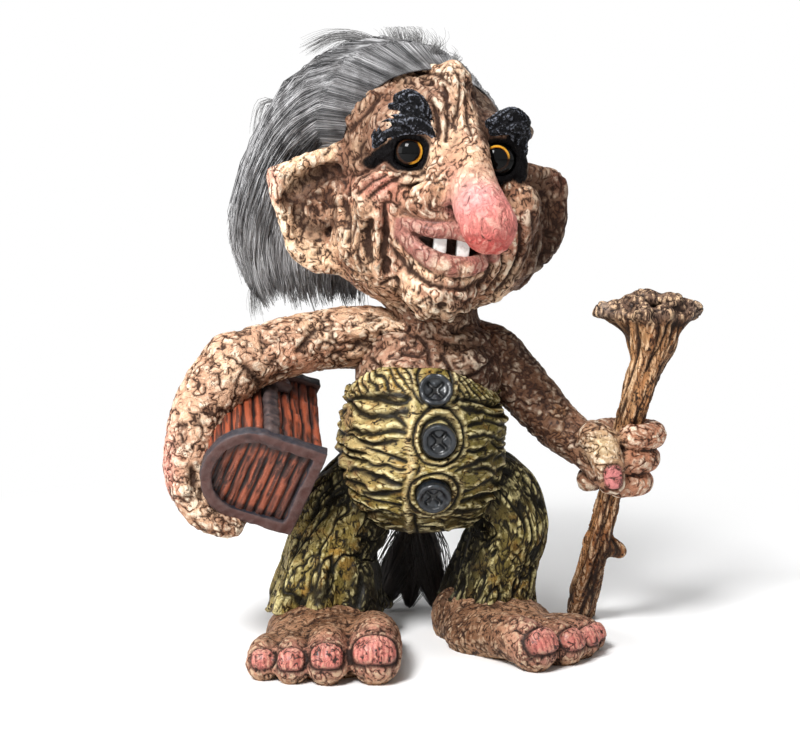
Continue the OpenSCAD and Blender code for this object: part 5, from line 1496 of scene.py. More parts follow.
def trousers_piece(material, settings):
    """Belly of the trousers on a grid of angle and height. Long wavy folds run across it, h = -d exp(-(gap / w)^2)
    with a raised lip over each, rings stand round the buttons, a ridge runs down beside them, and slanted cuts edge
    the bib."""
    rng = np.random.default_rng(17)
    rows, columns = 150, 400
    z = np.concatenate([[57.0, 57.0], np.linspace(57.2, 136.2, rows - 4), [136.6, 136.6]])[:, None]
    a = np.linspace(0, 2 * np.pi, columns, endpoint=False)[None, :] - np.pi
    base = belly_at(np.broadcast_to(a, (rows, columns)), np.broadcast_to(z, (rows, columns)))
    points, groups = closed_rings(base)
    side = groups[0]
    n = normals(points, groups)
    x, y, h = points.T
    angle = np.arctan2(x - BELLY_X, -(y + 3)) * 45
    drape = 2.2 * noise(np.column_stack([angle * 0.6, h, 0 * h]), 16, 11) + 1.1 * noise(points, 6, 12)
    height, mark = np.zeros(len(points)), np.zeros(len(points))
    for level in np.arange(63, 130, 5.8):
        for start in np.arange(-150, 140, 22):
            mid = start + rng.uniform(-6, 6)
            half = rng.uniform(9, 18)
            slope, bow = rng.uniform(-0.22, 0.22), rng.uniform(-2.2, 2.2)
            t = (angle - mid) / half
            gap = h - (level + rng.uniform(-1.6, 1.6) + slope * (angle - mid) + bow * t ** 2 + drape)
            taper = np.clip(1 - t ** 2, 0, 1) ** 0.6
            w = rng.uniform(0.8, 1.5)
            depth = rng.uniform(1.6, 3.6)
            groove = np.exp(-(gap / w) ** 2) * taper
            height += -depth * 0.5 * groove + 0.45 * depth * np.exp(-((gap - 2.0 * w) / (1.2 * w)) ** 2) * taper
            mark = np.maximum(mark, groove * min(1, depth / 1.8))
    height += 1.3 * noise(np.column_stack([angle * 0.45, h * 1.1, 0 * h]), 5.0, 14)
    # Ridge beside the buttons, and the rings round them
    front = y < 0
    ring_mark = np.zeros(len(points))
    ridge_line = np.interp(h, [62, 76, 90, 101, 112, 122, 134], [-14, -15.5, -14.5, -12.5, -14.5, -11.5, -13.5])
    gap = x - ridge_line - 0.8 * noise(points, 5, 15)
    calm = np.where(front, smoothstep(np.abs(gap - 1), 2.5, 5.0), 1)
    ridge_up = np.exp(-(gap / 1.7) ** 2) * front
    groove_by = np.exp(-((gap - 3.4) / 1.0) ** 2) * front
    height = height * calm + 1.5 * ridge_up - 1.2 * groove_by
    mark = np.maximum(mark * calm, 0.7 * groove_by)
    for level, across, tip in BUTTONS:
        axis, mid = button_place(level, across, tip)
        off = points - mid
        r = np.linalg.norm(off - (off @ axis)[:, None] * axis, axis=1)
        r = np.where(front, r, 99) + 0.5 * noise(points, 4, 16)
        calm = smoothstep(r, 13, 17)
        worn = smoothstep(noise(points, 7, 23), -0.6, 0.5)
        rings = (np.exp(-((r - 10.6) / 1.2) ** 2) * 1.5 + np.exp(-((r - 14.0) / 1.0) ** 2) * 1.1) * worn
        cuts = np.exp(-((r - 12.5) / 0.8) ** 2) + 1.2 * np.exp(-((r - 8.8) / 0.9) ** 2)
        height = height * calm + rings - 1.1 * cuts
        mark = np.maximum(mark * calm, np.clip(0.9 * cuts, 0, 1))
        ring_mark = np.maximum(ring_mark, np.clip(rings, 0, 1))
    # Bib edge
    edge = smoothstep(h, 126.5, 128) * smoothstep(h, 136.7, 135.5)
    slant = np.sin((angle + 1.6 * (h - 130)) * 0.9 + 3.4 * noise(points, 6, 18))
    away = smoothstep(np.abs(x + 1.5), 10, 13) + (y > 0)
    height = height * (1 - edge * away) + edge * away * (0.9 + 0.75 * slant)
    mark = np.maximum(mark * (1 - edge * away), edge * away * smoothstep(-slant, 0.1, 0.8))
    under = np.exp(-((h - 126 - 0.5 * noise(points, 8, 19)) / 0.9) ** 2) * away
    height -= 1.3 * under
    mark = np.maximum(mark, under)
    height *= smoothstep(h, 57, 60) * smoothstep(h, 136.7, 135.6)
    q = points + n * (height * settings.carve_depth)[:, None]
    drop = 14 * smoothstep(np.abs(angle + 8), 14, 70) - 8.0
    q[:, 2] -= drop * smoothstep(h, 112, 137)
    q[:, 1] += 2.6 * smoothstep(h, 118, 130) * smoothstep(-y, 0, 20)
    n = normals(q, groups)
    wash, ridge = wash_and_shade_marks(q, n, side, np.clip(1.25 * mark, 0, 1))
    # Painted light and shade: cream on the upper belly where it faces the figure's right and front, darker on its left
    # side, below the bulge and towards the back. Where it faces straight to the figure's right it turns pinkish brown.
    lit = smoothstep(-n[:, 0], -0.3, 0.7) * smoothstep(-n[:, 1], 0.0, 0.6)
    c = coats(
        cloth_paint(q, n, 21),
        (smoothstep(mark, 0.05, 0.5) * 0.6, (46, 40, 20)),
        (lit * smoothstep(h, 78, 100) * 0.6, (214, 190, 136)),
        (smoothstep(-n[:, 0], 0.72, 0.98) * 0.5, (176, 130, 100)),
        (np.maximum(ring_mark * 0.5, ridge_up * 0.75), (222, 198, 146)),
        (smoothstep(x, -6, 20) * 0.55, (80, 74, 36)),
        (smoothstep(h, 86, 64) * 0.75, (62, 52, 28)),
        (smoothstep(n[:, 1], 0.0, 0.6) * 0.45, (96, 84, 44)),
    )
    piece = build("trousers_belly", q, groups, material,
                  {"tint": c, "wash": wash, "ridge": ridge, "gloss": 0.12})
    return seat(piece, "trousers", "trousers_seat")


def leg_piece(name, node, levels, lean, seed, material, settings, shade):
    """Trouser leg: rings along a smooth path of x, y, z, half width, half depth. Bark-like folds run down it, and the
    hem stands out in waves, r = base (1 + 0.085 f cos(7 t + ...) + 0.05 f cos(3 t + ...)) with f the flare; under the
    hem the skin turns in and closes."""
    path = smooth_path(levels, 26)
    rows, columns = len(path), 260
    side, up = square_to(path, lean)
    t = np.linspace(0, 2 * np.pi, columns, endpoint=False)[None, :]
    run = np.concatenate([[0], np.cumsum(np.linalg.norm(np.diff(path[:, :3], axis=0), axis=1))])
    s = (run / run[-1])[:, None]
    flare = smoothstep(s, 0.55, 1.0)
    wave = (1 + 0.085 * flare * np.cos(7 * t + 1.1 * np.sin(2 * t + seed) + seed)
            + 0.05 * flare * np.cos(3 * t + seed * 2))
    tuck = smoothstep(s, 0.0, 0.06)
    rings = (path[:, None, :3] + side[:, None] * (path[:, 3][:, None] * wave * np.cos(t) * tuck)[..., None]
             + up[:, None] * (path[:, 4][:, None] * wave * np.sin(t) * tuck)[..., None])
    rings[:, :, 2] = np.maximum(rings[:, :, 2], 20.4)
    rings[:, :, 2] -= 8 * smoothstep(s, 0.7, 1.0) * (np.cos(t) ** 2 * (0.7 + 0.3 * np.cos(5 * t + seed)))
    hem = rings[-1]
    mid = hem.mean(axis=0)
    curl = np.stack([mid + (hem - mid) * np.array([k, k, 1]) + np.array([0, 0, lift])
                     for k, lift in ((0.97, -1.4), (0.92, -1.6), (0.86, 0.2), (0.6, 2.0))])
    curl[-1, :, 2] = 21
    rings = np.concatenate([rings, curl])
    points, groups = closed_rings(rings)
    n = normals(points, groups)
    angle = np.concatenate([np.broadcast_to(t, (len(rings), columns)).ravel(), [0, 0]])
    length = np.concatenate([np.repeat(np.concatenate([run, np.full(4, run[-1])]), columns), [0, run[-1]]])
    twist = angle + 0.006 * length
    around = np.column_stack([np.cos(twist) * 24, np.sin(twist) * 24, length * 0.45])
    finer = np.column_stack([np.cos(twist) * 24, np.sin(twist) * 24, length * 0.7])
    a = carved_lines(around, 8, seed, 0.12)
    b = carved_lines(finer, 4.2, seed + 3, 0.15) * smoothstep(noise(points, 8, seed + 6), -0.4, 0.2)
    bulk = layered(around, 7, seed + 8, 2)
    height = (1.5 * bulk - 1.7 * a - 0.9 * b) * settings.carve_depth
    body = np.concatenate([np.repeat(np.concatenate([np.ones(rows), [0.6, 0.2, 0, 0]]), columns), [0, 0]])
    q = points + n * (height * body)[:, None]
    q[:, 2] = np.maximum(q[:, 2], 9.0)
    n = normals(q, groups)
    wash, ridge = wash_and_shade_marks(q, n, groups[0], np.clip(0.9 * a + 0.6 * b, 0, 1))
    # Painted light and shade: paler low down where the leg faces the figure's right, darker high up under the belly,
    # darker all over (the left leg most, by its shade), and near-black on the inner side between the legs, under the
    # hem and near the belly.
    inner = np.sign(-path[-1, 0]) * (q[:, 0] - np.interp(-q[:, 2], -path[:, 2], path[:, 0]))
    c = coats(
        cloth_paint(q, n, seed),
        (smoothstep(-n[:, 0], 0.0, 0.9) * smoothstep(q[:, 2], 74, 50) * 0.5 * (1 - shade), (204, 184, 124)),
        (smoothstep(q[:, 2], 52, 80) * 0.85, (40, 36, 20)),
        (smoothstep(a + b, 0.15, 0.7) * 0.6, (30, 27, 14)),
        (0.1 + shade, (50, 45, 26)),
        (smoothstep(inner, 1, 17) * 0.9, (20, 18, 11)),
    )
    wash = np.maximum(wash, smoothstep(inner, 8, 22) * 0.8)
    under_hem = np.repeat(np.concatenate([np.zeros(rows), [0.2, 0.7, 1, 1]]), columns)
    wash = np.maximum(wash, np.concatenate([under_hem, [0, 1]]))
    belly = ball((BELLY_X, -3, 96), (43, 50, 40)).distance(*q.T)
    wash = np.maximum(wash, 0.9 * smoothstep(belly, 9, 0.5))
    piece = build(name, q, groups, material, {"tint": c, "wash": np.clip(wash, 0, 1), "ridge": ridge, "gloss": 0.1})
    return seat(piece, "trousers", node)


RIGHT_LEG = [(-30, 3, 88, 20, 22), (-36, 2, 80, 22, 24), (-46, 0, 66, 24, 24.5), (-54, -3, 48, 24, 25),
             (-56, -6, 34, 27.5, 26.5), (-57, -7, 25, 31.5, 29.5), (-57, -7, 20.6, 33, 30)]
LEFT_LEG = [(8, 4, 88, 19, 22), (14, 3, 83, 20.5, 23), (28, 0, 76, 21.5, 22.5), (38, -1, 60, 21, 22.5),
            (33, 0, 44, 21, 22.5), (29, 0, 30, 23, 23.5), (27, 0, 20.6, 25.5, 25)]


def button_material():
    """Lacquered button: blue-black with worn grey patches and a gloss."""
    s = Shader("button_lacquer", Roughness=0.35,
               **{"Coat Weight": 0.35, "Coat Roughness": 0.2, "Specular IOR Level": 0.3})
    worn = s.noise(s.places(), 2.4, 4.0, 0.6)
    base = s.blend(worn.above(0.5, 0.75), (0.007, 0.009, 0.012), (0.028, 0.036, 0.044))
    s.feed(Base_Color=s.blend(s.attribute("wash"), base, (0.003, 0.003, 0.003)))
    s.feed(Normal=s.bump(worn, 0.5, 0.5))
    return s.material


def button_piece(name, node, level, across, tip, material):
    """Button: rings of radius r at a height from a domed profile with a raised rim, less a crossed dent,
    0.9 exp(-(u v / 3)^2) for crossed places u and v near the middle."""
    axis, mid = button_place(level, across, tip)
    side = np.array([1.0, 0, 0])
    up = np.cross(axis, side)
    r = np.array([0.3, 8.4, 8.5, 8.5, 8.3, 7.8, 7.0, 6.2, 5.6, 5.0, 4.2, 3.4, 2.6, 1.8, 1.0, 0.3])
    w = np.array([0.3, 0.3, 1.5, 4.2, 5.4, 6.0, 6.0, 5.7, 5.0, 4.6, 4.5, 4.5, 4.6, 4.6, 4.6, 4.6])
    fine = np.linspace(0, len(r) - 1, 60)
    r, w = np.interp(fine, np.arange(len(r)), r), np.interp(fine, np.arange(len(w)), w)
    a = np.linspace(0, 2 * np.pi, 72, endpoint=False)[None, :]
    u, v = r[:, None] * np.cos(a), r[:, None] * np.sin(a)
    face = smoothstep(w[:, None], 3.8, 4.5)
    cross = np.exp(-((u + v) / 1.5) ** 2) + np.exp(-((u - v) / 1.5) ** 2)
    dent = np.clip(cross, 0, 1) * face * smoothstep(r[:, None], 5.6, 4.6)
    lump = 0.5 * noise(np.column_stack([u.ravel(), v.ravel(), np.full(u.size, tip)]), 3, 7).reshape(u.shape)
    rings = (mid + side * (u * (1 + 0.02 * np.cos(3 * a)))[..., None] + up * v[..., None]
             + axis * (w[:, None] - 1.5 * dent + lump * face)[..., None])
    points, groups = closed_rings(rings)
    dark = np.clip(dent * 1.1 + 0.5 * face * smoothstep(np.abs(r[:, None] - 5.6), 0.9, 0.2), 0, 1)
    wash = np.concatenate([dark.ravel(), [0, 0]])
    return seat(build(name, points, groups, material, {"wash": wash}), "button", node)


# Stick, tail and chest

STICK = np.array([(80, 35, 0, 8.0), (81, 20, 18, 7.9), (84, 10, 37, 7.1), (89, 0, 66, 6.4), (95, -6, 93, 6.4),
                  (102, -10, 125, 8.1), (109, -10, 150, 10.0), (110, -9, 160, 12.3)])
# Limits of the crown, on the figure's left and on top
STICK_LEFT = 138
STICK_TOP = 182


def stick_piece(step, material):
    """Stick: a limb that widens upwards, with a low knob, a crown of spread roots and knots. Grooves run along it:
    a sine of the angle round its path, turned slowly by noise, and none on the knots."""
    b = Block((66, -30, -4), (140, 48, 184), step)
    b.join(limb([tuple(s) for s in STICK[:-1]] + [(110, -9, 158, 11.2)], 6), 2)
    b.join(limb([(86, 8, 47, 6.4), (93, 5, 44.5, 5.6), (96.5, 4, 43, 4.4)], 3), 3)
    for c in ([(110, -9, 156, 10), (102, -9, 163, 8.4), (93, -9, 168, 6.4), (84, -8, 171, 4.4)],
              [(110, -9, 156, 10.5), (118, -8, 164, 8.6), (126, -6, 169, 6.6), (132.5, -4, 171, 4.6)],
              [(110, -9, 157, 10), (108, -15, 163, 8), (104, -21, 169, 5.4)],
              [(110, -9, 157, 10), (110, 0, 165, 8.6), (112, 10, 171, 6)]):
        b.join(limb(c, 4), 5)
    for mid, r in (((93, -7, 172), (8, 7, 5)), ((102, -6, 174.5), (7.5, 7.5, 5.5)), ((108, -3, 176.5), (8.5, 8, 5.6)),
                   ((119, -6, 175), (9, 8, 5.5)), ((127, -4, 172), (7, 7, 4.6)), ((104, -16, 171), (6, 5, 5)),
                   ((114, -16, 169), (7, 5, 6)), ((96, -12, 168), (6, 5, 5))):
        b.join(ball(mid, r), 1.6)
    b.keep_above(0.0)
    p, faces = b.skin()
    n = normals(p, [faces])
    path = smooth_path(STICK, 8)
    side, up = square_to(path, (1, 0, 0))
    near = np.argmin(((p[:, None] - path[None, :, :3]) ** 2).sum(axis=2), axis=1)
    off = p - path[near, :3]
    angle = np.arctan2((off * up[near]).sum(axis=1), (off * side[near]).sum(axis=1))
    twist = angle + 0.012 * p[:, 2] + 0.35 * noise(p, 26, 3)
    around = np.column_stack([np.cos(twist) * 9, np.sin(twist) * 9, p[:, 2] * 0.10])
    a = carved_lines(around, 3.6, 31, 0.2)
    c = carved_lines(np.column_stack([np.cos(twist) * 9, np.sin(twist) * 9, p[:, 2] * 0.22]), 1.9, 35, 0.22)
    top = smoothstep(p[:, 2], 162, 170)
    height = ((1.2 * noise(around, 3.4, 33) - 1.3 * a - 0.5 * c) * (1 - top)
              + top * (1.0 * noise(p, 4, 37) - 0.8 * carved_lines(p, 5, 38, 0.15)))
    q = p + n * height[:, None]
    low = p[:, 2] < b.step
    q[low, 2] = 0
    q[:, 2] = np.clip(q[:, 2], 0, STICK_TOP)
    q[:, 0] = np.minimum(q[:, 0], STICK_LEFT)
    n = normals(q, [faces])
    mark = np.clip((0.9 * a + 0.4 * c) * (1 - top) + 0.5 * top * carved_lines(p, 5, 38, 0.15), 0, 1)
    wash, ridge = wash_and_shade_marks(q, n, faces, mark)
    # Painted light and shade: paler up the shaft where it faces the figure's right, darker where it faces its left, and
    # painted shade under the crown's top.
    colour = coats(
        paint(146, 96, 60),
        (smoothstep(noise(around, 6, 39), -0.3, 0.5), (182, 128, 82)),
        (smoothstep(-n[:, 0], -0.2, 0.6) * smoothstep(q[:, 2], 96, 120) * 0.5, (220, 172, 120)),
        (smoothstep(n[:, 0], 0.1, 0.8) * 0.65, (74, 50, 36)),
        (top * 0.85, (104, 86, 76)),
        (smoothstep(np.abs(q[:, 0] - 109), 17, 26) * top * 0.6, (150, 134, 122)),
    )
    wash = np.clip(wash + 0.3 * top * smoothstep(-n[:, 2], -0.4, 0.3), 0, 1)
    piece = build("stick_wood", q, [faces], material, {"tint": colour, "wash": wash, "ridge": ridge, "gloss": 0.12})
    return seat(piece, "stick", "walking_stick")


# Paths of x, y, z and radius, and of the tuft's strands with their number and spread
TAIL = [(-8, 30, 78, 5), (-8, 50, 68, 5), (-9, 58, 50, 4), (-12, 56, 30, 3), (-15, 52, 20, 2.5)]
TUFT = [
    ([(-10, 57, 46), (-15, 53, 30), (-24, 46, 14), (-30, 42, 3)], 800, 7.0),
    ([(-9, 57, 48), (-5, 50, 32), (-1, 45, 15), (1, 42, 3)], 800, 7.0),
    ([(-11, 57, 44), (-18, 56, 28), (-27, 55, 14), (-31, 54, 4)], 500, 6.5),
    ([(-10, 57, 46), (-11, 52, 28), (-13, 48, 12), (-14, 46, 3)], 700, 7.0),
]


def tail_pieces(skin, hair, settings):
    """Tail: rings along a smooth path with creased skin. Its tuft is strands that spread from four paths."""
    path = smooth_path(TAIL, 24)
    side, up = square_to(path, (1, 0, 0))
    t = np.linspace(0, 2 * np.pi, 40, endpoint=False)[None, :]
    s = np.linspace(0, 1, len(path))[:, None]
    r = path[:, 3][:, None] * (1 + 0.06 * np.sin(s * 150)) * (1 + 0 * t)
    rings = path[:, None, :3] + side[:, None] * (r * np.cos(t))[..., None] + up[:, None] * (r * np.sin(t))[..., None]
    points, groups = closed_rings(rings)
    n = normals(points, groups)
    height, mark = flesh_cuts(points, 111, 4.0)
    q = points + n * (0.5 * height)[:, None]
    wash, ridge = wash_and_shade_marks(q, normals(q, groups), groups[0], mark)
    # Painted shade: the tail darker overall, as it hangs in the shade between the legs.
    colour = coats(skin_paint(q, 9), (0.6, (112, 78, 56)))
    seat(build("tail_casting", q, groups, skin, {"tint": colour, "wash": wash, "ridge": ridge, "gloss": 0.05}),
         "skin", "tail")
    rng = np.random.default_rng(5)
    bundles, rows = [], 7
    for line, count, spread in TUFT:
        sheet = guide_sheet([line], rows)[0]
        t = np.linspace(0, 1, rows)
        fan = np.sin(np.pi * np.clip(0.15 + 0.85 * t, 0, 1)) * 0.9 + 0.25
        p = sheet[None] + rng.normal(0, 0.5, (count, 1, 3)) * spread * fan[None, :, None]
        p[:, :, 2] = np.maximum(p[:, :, 2], 1.0)
        radius = settings.hair_width / 2 * 1200 * (1 - 0.7 * t)[None, :] * np.ones((count, 1))
        points, groups = tubes(p, radius)
        points[:, 2] = np.maximum(points[:, 2], 0.3)
        # Near-black strands: the tuft's dark hair and the shade between the legs that it fills.
        bundles.append((points, *groups, strand_colours(rng, count, rows, (16, 13, 12), (74, 62, 54), 0.0)))
    seat(bundled("tail_tuft_hair", bundles, hair), "tuft", "tail_tuft")


CHEST_MID = np.array([-93.5, -52.6, 93.2])
CHEST_TURN = turn(2, -38) @ turn(1, -60) @ turn(0, 48)
CHEST = {"length": 75.0, "width": 48.0, "deep": 31.0, "lid": 22.0}


def chest_profile(x, z, grow):
    """Distance to the chest's end outline: a rectangle under the seam and half an ellipse over it."""
    w, h, lid = CHEST["width"] / 2 + grow, CHEST["deep"] + grow, CHEST["lid"] + grow
    box = np.maximum(np.abs(x) - w, -h - z)
    k0 = np.sqrt((x / w) ** 2 + (z / lid) ** 2) + 1e-6
    k1 = np.sqrt((x / w ** 2) ** 2 + (z / lid ** 2) ** 2) + 1e-6
    return np.where(z < 0, box + 0 * x, k0 * (k0 - 1) / k1)


def wood_material():
    """Stained planks: red-brown with lengthwise grain from a stretched noise, dark stain in the grooves."""
    s = Shader("chest_plank", Roughness=0.5,
               **{"Coat Weight": 0.12, "Coat Roughness": 0.3, "Specular IOR Level": 0.3})
    grain = s.noise(s.places(), 1.1, 4.0, 0.65)
    line = s.attribute("grain")
    tint = s.attribute("tint", colour=True)
    mixed = s.blend(line.above(0.35, 0.8) * 0.85, tint, (0.034, 0.013, 0.010))
    mixed = s.blend(grain.above(0.5, 0.75) * s.attribute("ridge") * 0.7, mixed, (0.50, 0.21, 0.14))
    s.feed(Base_Color=s.blend(s.attribute("wash"), mixed, (0.008, 0.005, 0.005)))
    s.feed(Normal=s.bump(grain * 0.4 + (1 - line) * 0.7, 0.8, 0.5))
    s.feed(Roughness=grain * 0.3 + 0.35)
    return s.material


def metal_material():
    """Old strap: dark paint over metal, worn to grey-brown on its edges."""
    s = Shader("chest_strap", Metallic=0.1, Roughness=0.4, **{"Specular IOR Level": 0.25})
    worn = s.noise(s.places(), 3.0, 4.0, 0.65)
    tint = s.attribute("tint", colour=True)
    base = s.blend(worn.above(0.45, 0.65) * 0.3 + s.attribute("ridge") * 0.45, tint, (0.125, 0.085, 0.078))
    s.feed(Base_Color=s.blend(s.attribute("wash"), base, (0.008, 0.007, 0.007)))
    s.feed(Normal=s.bump(worn, 0.7, 0.6))
    s.feed(Roughness=worn * 0.35 + 0.3)
    return s.material


def chest_pieces(wood, metal, step=0.72):
    """Chest in its own frame, length along y and seam at z = 0: a body of planks parted by V grooves, frames round both
    ends, a strap along the seam in front, and the hasp across it."""
    L, W, H, T = CHEST["length"], CHEST["width"] / 2, CHEST["deep"], CHEST["lid"]

    def place(p):
        return p @ CHEST_TURN.T + CHEST_MID

    b = Block((-28, -4, -35), (30, 79, 27), step)
    core = Form((-26, -1, -33), (26, 76, 24),
                lambda x, y, z: np.maximum(chest_profile(x, z, 0.0), np.abs(y - L / 2) - L / 2 + 0.6) + 0.3)
    b.join(core, 0.1)
    p, faces = b.skin()
    n = normals(p, [faces])
    x, y, z = p.T
    on_end = smoothstep(np.abs(n[:, 1]), 0.5, 0.8)
    wob = 0.6 * noise(p, 9, 41)
    # Planks lie along the chest on its sides and across it on its ends; their joints are at steps of z, or of the
    # angle over the lid, as if its arc were 62 mm long
    arc = np.where(z > 0, np.degrees(np.arctan2(z / T, x / W)) / 180 * 62, z)
    pitch = CHEST["deep"] / 6
    phase_side = (arc + wob) / pitch
    phase_end = (z + wob * 0.7) / pitch
    phase = np.where(on_end > 0.5, phase_end, phase_side)
    near = np.abs(phase - np.round(phase)) * pitch
    joint = np.exp(-(near / 0.75) ** 2)
    under = (np.abs(z + H) < 1.0) & (n[:, 2] < -0.5)
    joint = np.where(under, np.exp(-((np.abs(x / 6 - np.round(x / 6)) * 6) / 0.75) ** 2), joint)
    run = np.where((on_end > 0.5)[:, None], np.column_stack([x * 0.12, y, z]), np.column_stack([x, y * 0.10, z]))
    grain = smoothstep(noise(run, 1.3, 42) + 0.6 * noise(run, 0.7, 43), -0.5, 0.9)
    cut = carved_lines(run, 2.0, 44, 0.22) * smoothstep(noise(p, 8, 45), -0.4, 0.2)
    height = -1.7 * joint + 0.45 * noise(run, 2.2, 46) - 0.7 * cut
    q = p + n * height[:, None]
    n = normals(q, [faces])
    wash, ridge = wash_and_shade_marks(q, n, faces, np.clip(joint * 0.95 + cut * 0.6, 0, 1))
    board = np.floor(phase + 0.5)
    tone = noise(np.column_stack([board, 0 * board, on_end * 5]), 0.7, 47)
    colour = coats(
        paint(152, 74, 46),
        (smoothstep(tone, -0.6, 0.6) * 0.7, (108, 52, 36)),
        (on_end * 0.35, (140, 80, 58)),
    )
    # Darker against the frames: within the outline on the ends, and beside the frames on the sides
    rim = -chest_profile(x, z, 0.0)
    frame_gap = np.where(on_end > 0.5, rim, np.minimum(np.abs(y), np.abs(y - L)))
    against_frames = smoothstep(frame_gap, 9.5, 6.6) * np.where(on_end > 0.5, smoothstep(rim, 3, 5), 1)
    wash = np.maximum(wash, 0.8 * against_frames)
    body = build("chest_planks", place(q), [faces], wood,
                 {"tint": colour, "wash": np.clip(wash, 0, 1), "ridge": ridge, "grain": grain})
    seat(body, "chest_wood", "chest_box", "chest_lid")

    b = Block((-31, -5, -37), (31, 80, 28), step)
    for end in (0, L):
        middle = 2.4 if end == 0 else L - 2.4
        b.join(Form((-27, middle - 5, -34), (27, middle + 5, 25), lambda x, y, z, m=middle: np.maximum(
            np.maximum(chest_profile(x, z, 1.2), -chest_profile(x, z, -4.6)), np.abs(y - m) - 3.6)), 0.6)
    p, faces = b.skin()
    n = normals(p, [faces])
    height = 0.5 * layered(p, 5, 51, 2)
    q = p + n * height[:, None]
    n = normals(q, [faces])
    wash, ridge = wash_and_shade_marks(q, n, faces)
    edge = smoothstep(np.abs(n[:, 1]), 0.6, 0.9)
    colour = coats(
        paint(44, 46, 54),
        (edge * 0.9, (84, 54, 48)),
        (smoothstep(layered(q, 8, 53), 0.1, 0.6) * 0.6, (30, 28, 30)),
    )
    seat(build("chest_frames", place(q), [faces], metal, {"tint": colour, "wash": wash * 0.8, "ridge": ridge * 0.6}),
         "chest_metal", "chest_bands")

    b = Block((16, 2, -26), (34, 74, 12), step)
    b.join(limb([(W - 0.4, 7, -2.5, 2.8), (W - 0.4, L - 7, -2.5, 2.8)], 2), 0.5)
    b.join(limb([(W - 0.4, 7, -5.0, 2.8), (W - 0.4, L - 7, -5.0, 2.8)], 2), 1)
    b.join(limb([(W + 0.4, 55.5, 4, 3.4), (W + 1.2, 55.5, -4, 3.8), (W + 0.6, 56, -13, 3.0)], 4), 1.5)
    b.join(limb([(W + 0.4, 61, 3, 3.2), (W + 1.0, 61, -5, 3.4), (W + 0.4, 60.5, -12, 2.8)], 4), 1.5)
    b.carve(ball((W + 5.0, 58.3, -7), (2.6, 3.0, 5.0)), 1)
    p, faces = b.skin()
    n = normals(p, [faces])
    q = p + n * (0.55 * layered(p, 4, 55, 2))[:, None]
    n = normals(q, [faces])
    wash, ridge = wash_and_shade_marks(q, n, faces)
    colour = coats(paint(52, 46, 48), (blob(q, (W + 4, 58.5, -9), (5, 4, 5)) * 0.8, (150, 84, 70)))
    seat(build("chest_clasp", place(q), [faces], metal, {"tint": colour, "wash": wash, "ridge": ridge}), "chest_metal",
         "chest_hasp")


def dowel_material():
    """Drawn steel rod with fine lengthwise scratches and dull patches."""
    s = Shader("dowel_steel", Metallic=1.0, Roughness=0.35)
    scratch = s.noise(s.places((1, 1, 0.05)), 0.5, 3.0)
    dull = s.noise(s.places(), 4.0, 3.0)
    s.feed(Base_Color=s.blend(dull.above(0.4, 0.7) * 0.5, (0.50, 0.49, 0.47), (0.30, 0.29, 0.28)))
    s.feed(Roughness=scratch * 0.3 + 0.2, Normal=s.bump(scratch, 0.3, 0.1))
    return s.material


# Stage

def floor_material(shade):
    """Pale matt floor that takes shadows near the figure. The camera sees it fade into plain white further off."""
    s = Shader("floor_pale", Roughness=0.9)
    grain = s.noise(s.places(), 30.0, 3.0)
    s.feed(Base_Color=s.blend(grain * 0.12, (shade, shade, shade), (shade * 0.96, shade * 0.95, shade * 0.94)))
    coords = s.node("ShaderNodeTexCoord")
    reach = s.node("ShaderNodeVectorMath", {"operation": "LENGTH"}, {0: Value(s, coords.outputs["Object"])})
    seen = Value(s, s.node("ShaderNodeLightPath").outputs["Is Camera Ray"])
    white = s.node("ShaderNodeEmission", {}, {"Strength": 1.0})
    both = s.node("ShaderNodeMixShader", {}, {0: Value(s, reach.outputs["Value"]).above(0.16, 0.5) * seen,
                                              1: Value(s, s.surface.outputs[0]), 2: Value(s, white.outputs[0])})
    s.tree.links.new(both.outputs[0], s.output.inputs["Surface"])
    return s.material


def white_world(strength):
    """Dim even light on the figure, and a white background for what the camera, gloss and glass see past it."""
    world = bpy.data.worlds.new("studio")
    world.use_nodes = True
    tree = Nodes(world.node_tree)
    rays = tree.node("ShaderNodeLightPath")
    seen = Value(tree, rays.outputs["Is Camera Ray"])
    for name in ("Is Glossy Ray", "Is Transmission Ray"):
        seen = seen.maths("MAXIMUM", Value(tree, rays.outputs[name]))
    dim, white = (Value(tree, tree.node("ShaderNodeBackground", {}, {"Color": (1, 1, 1), "Strength": s}).outputs[0])
                  for s in (strength, 1.0))
    both = tree.node("ShaderNodeMixShader", {}, {0: seen, 1: dim, 2: white})
    tree.node("ShaderNodeOutputWorld", {}, {"Surface": Value(tree, both.outputs[0])})
    bpy.context.scene.world = world


def area_light(name, place, size, power):
    """A square soft light at a place, turned to the middle of the figure."""
    data = bpy.data.lights.new(name, "AREA")
    data.size, data.energy = size, power
    lamp = bpy.data.objects.new(name, data)
    lamp.location = place
    off = np.array([0.0, 0.0, 0.16]) - np.asarray(place, float)
    lamp.rotation_euler = (math.atan2(math.hypot(off[0], off[1]), -off[2]), 0.0, math.atan2(-off[0], off[1]))
    bpy.context.scene.collection.objects.link(lamp)


# The photograph's camera, fitted to it: place in metres, tilt in degrees and lens in millimetres
CAMERA_PLACE = (-0.019, -0.835, 0.235)
CAMERA_TILT = 83.43
CAMERA_LENS = 72.86
FILM_WIDTH = 36.0


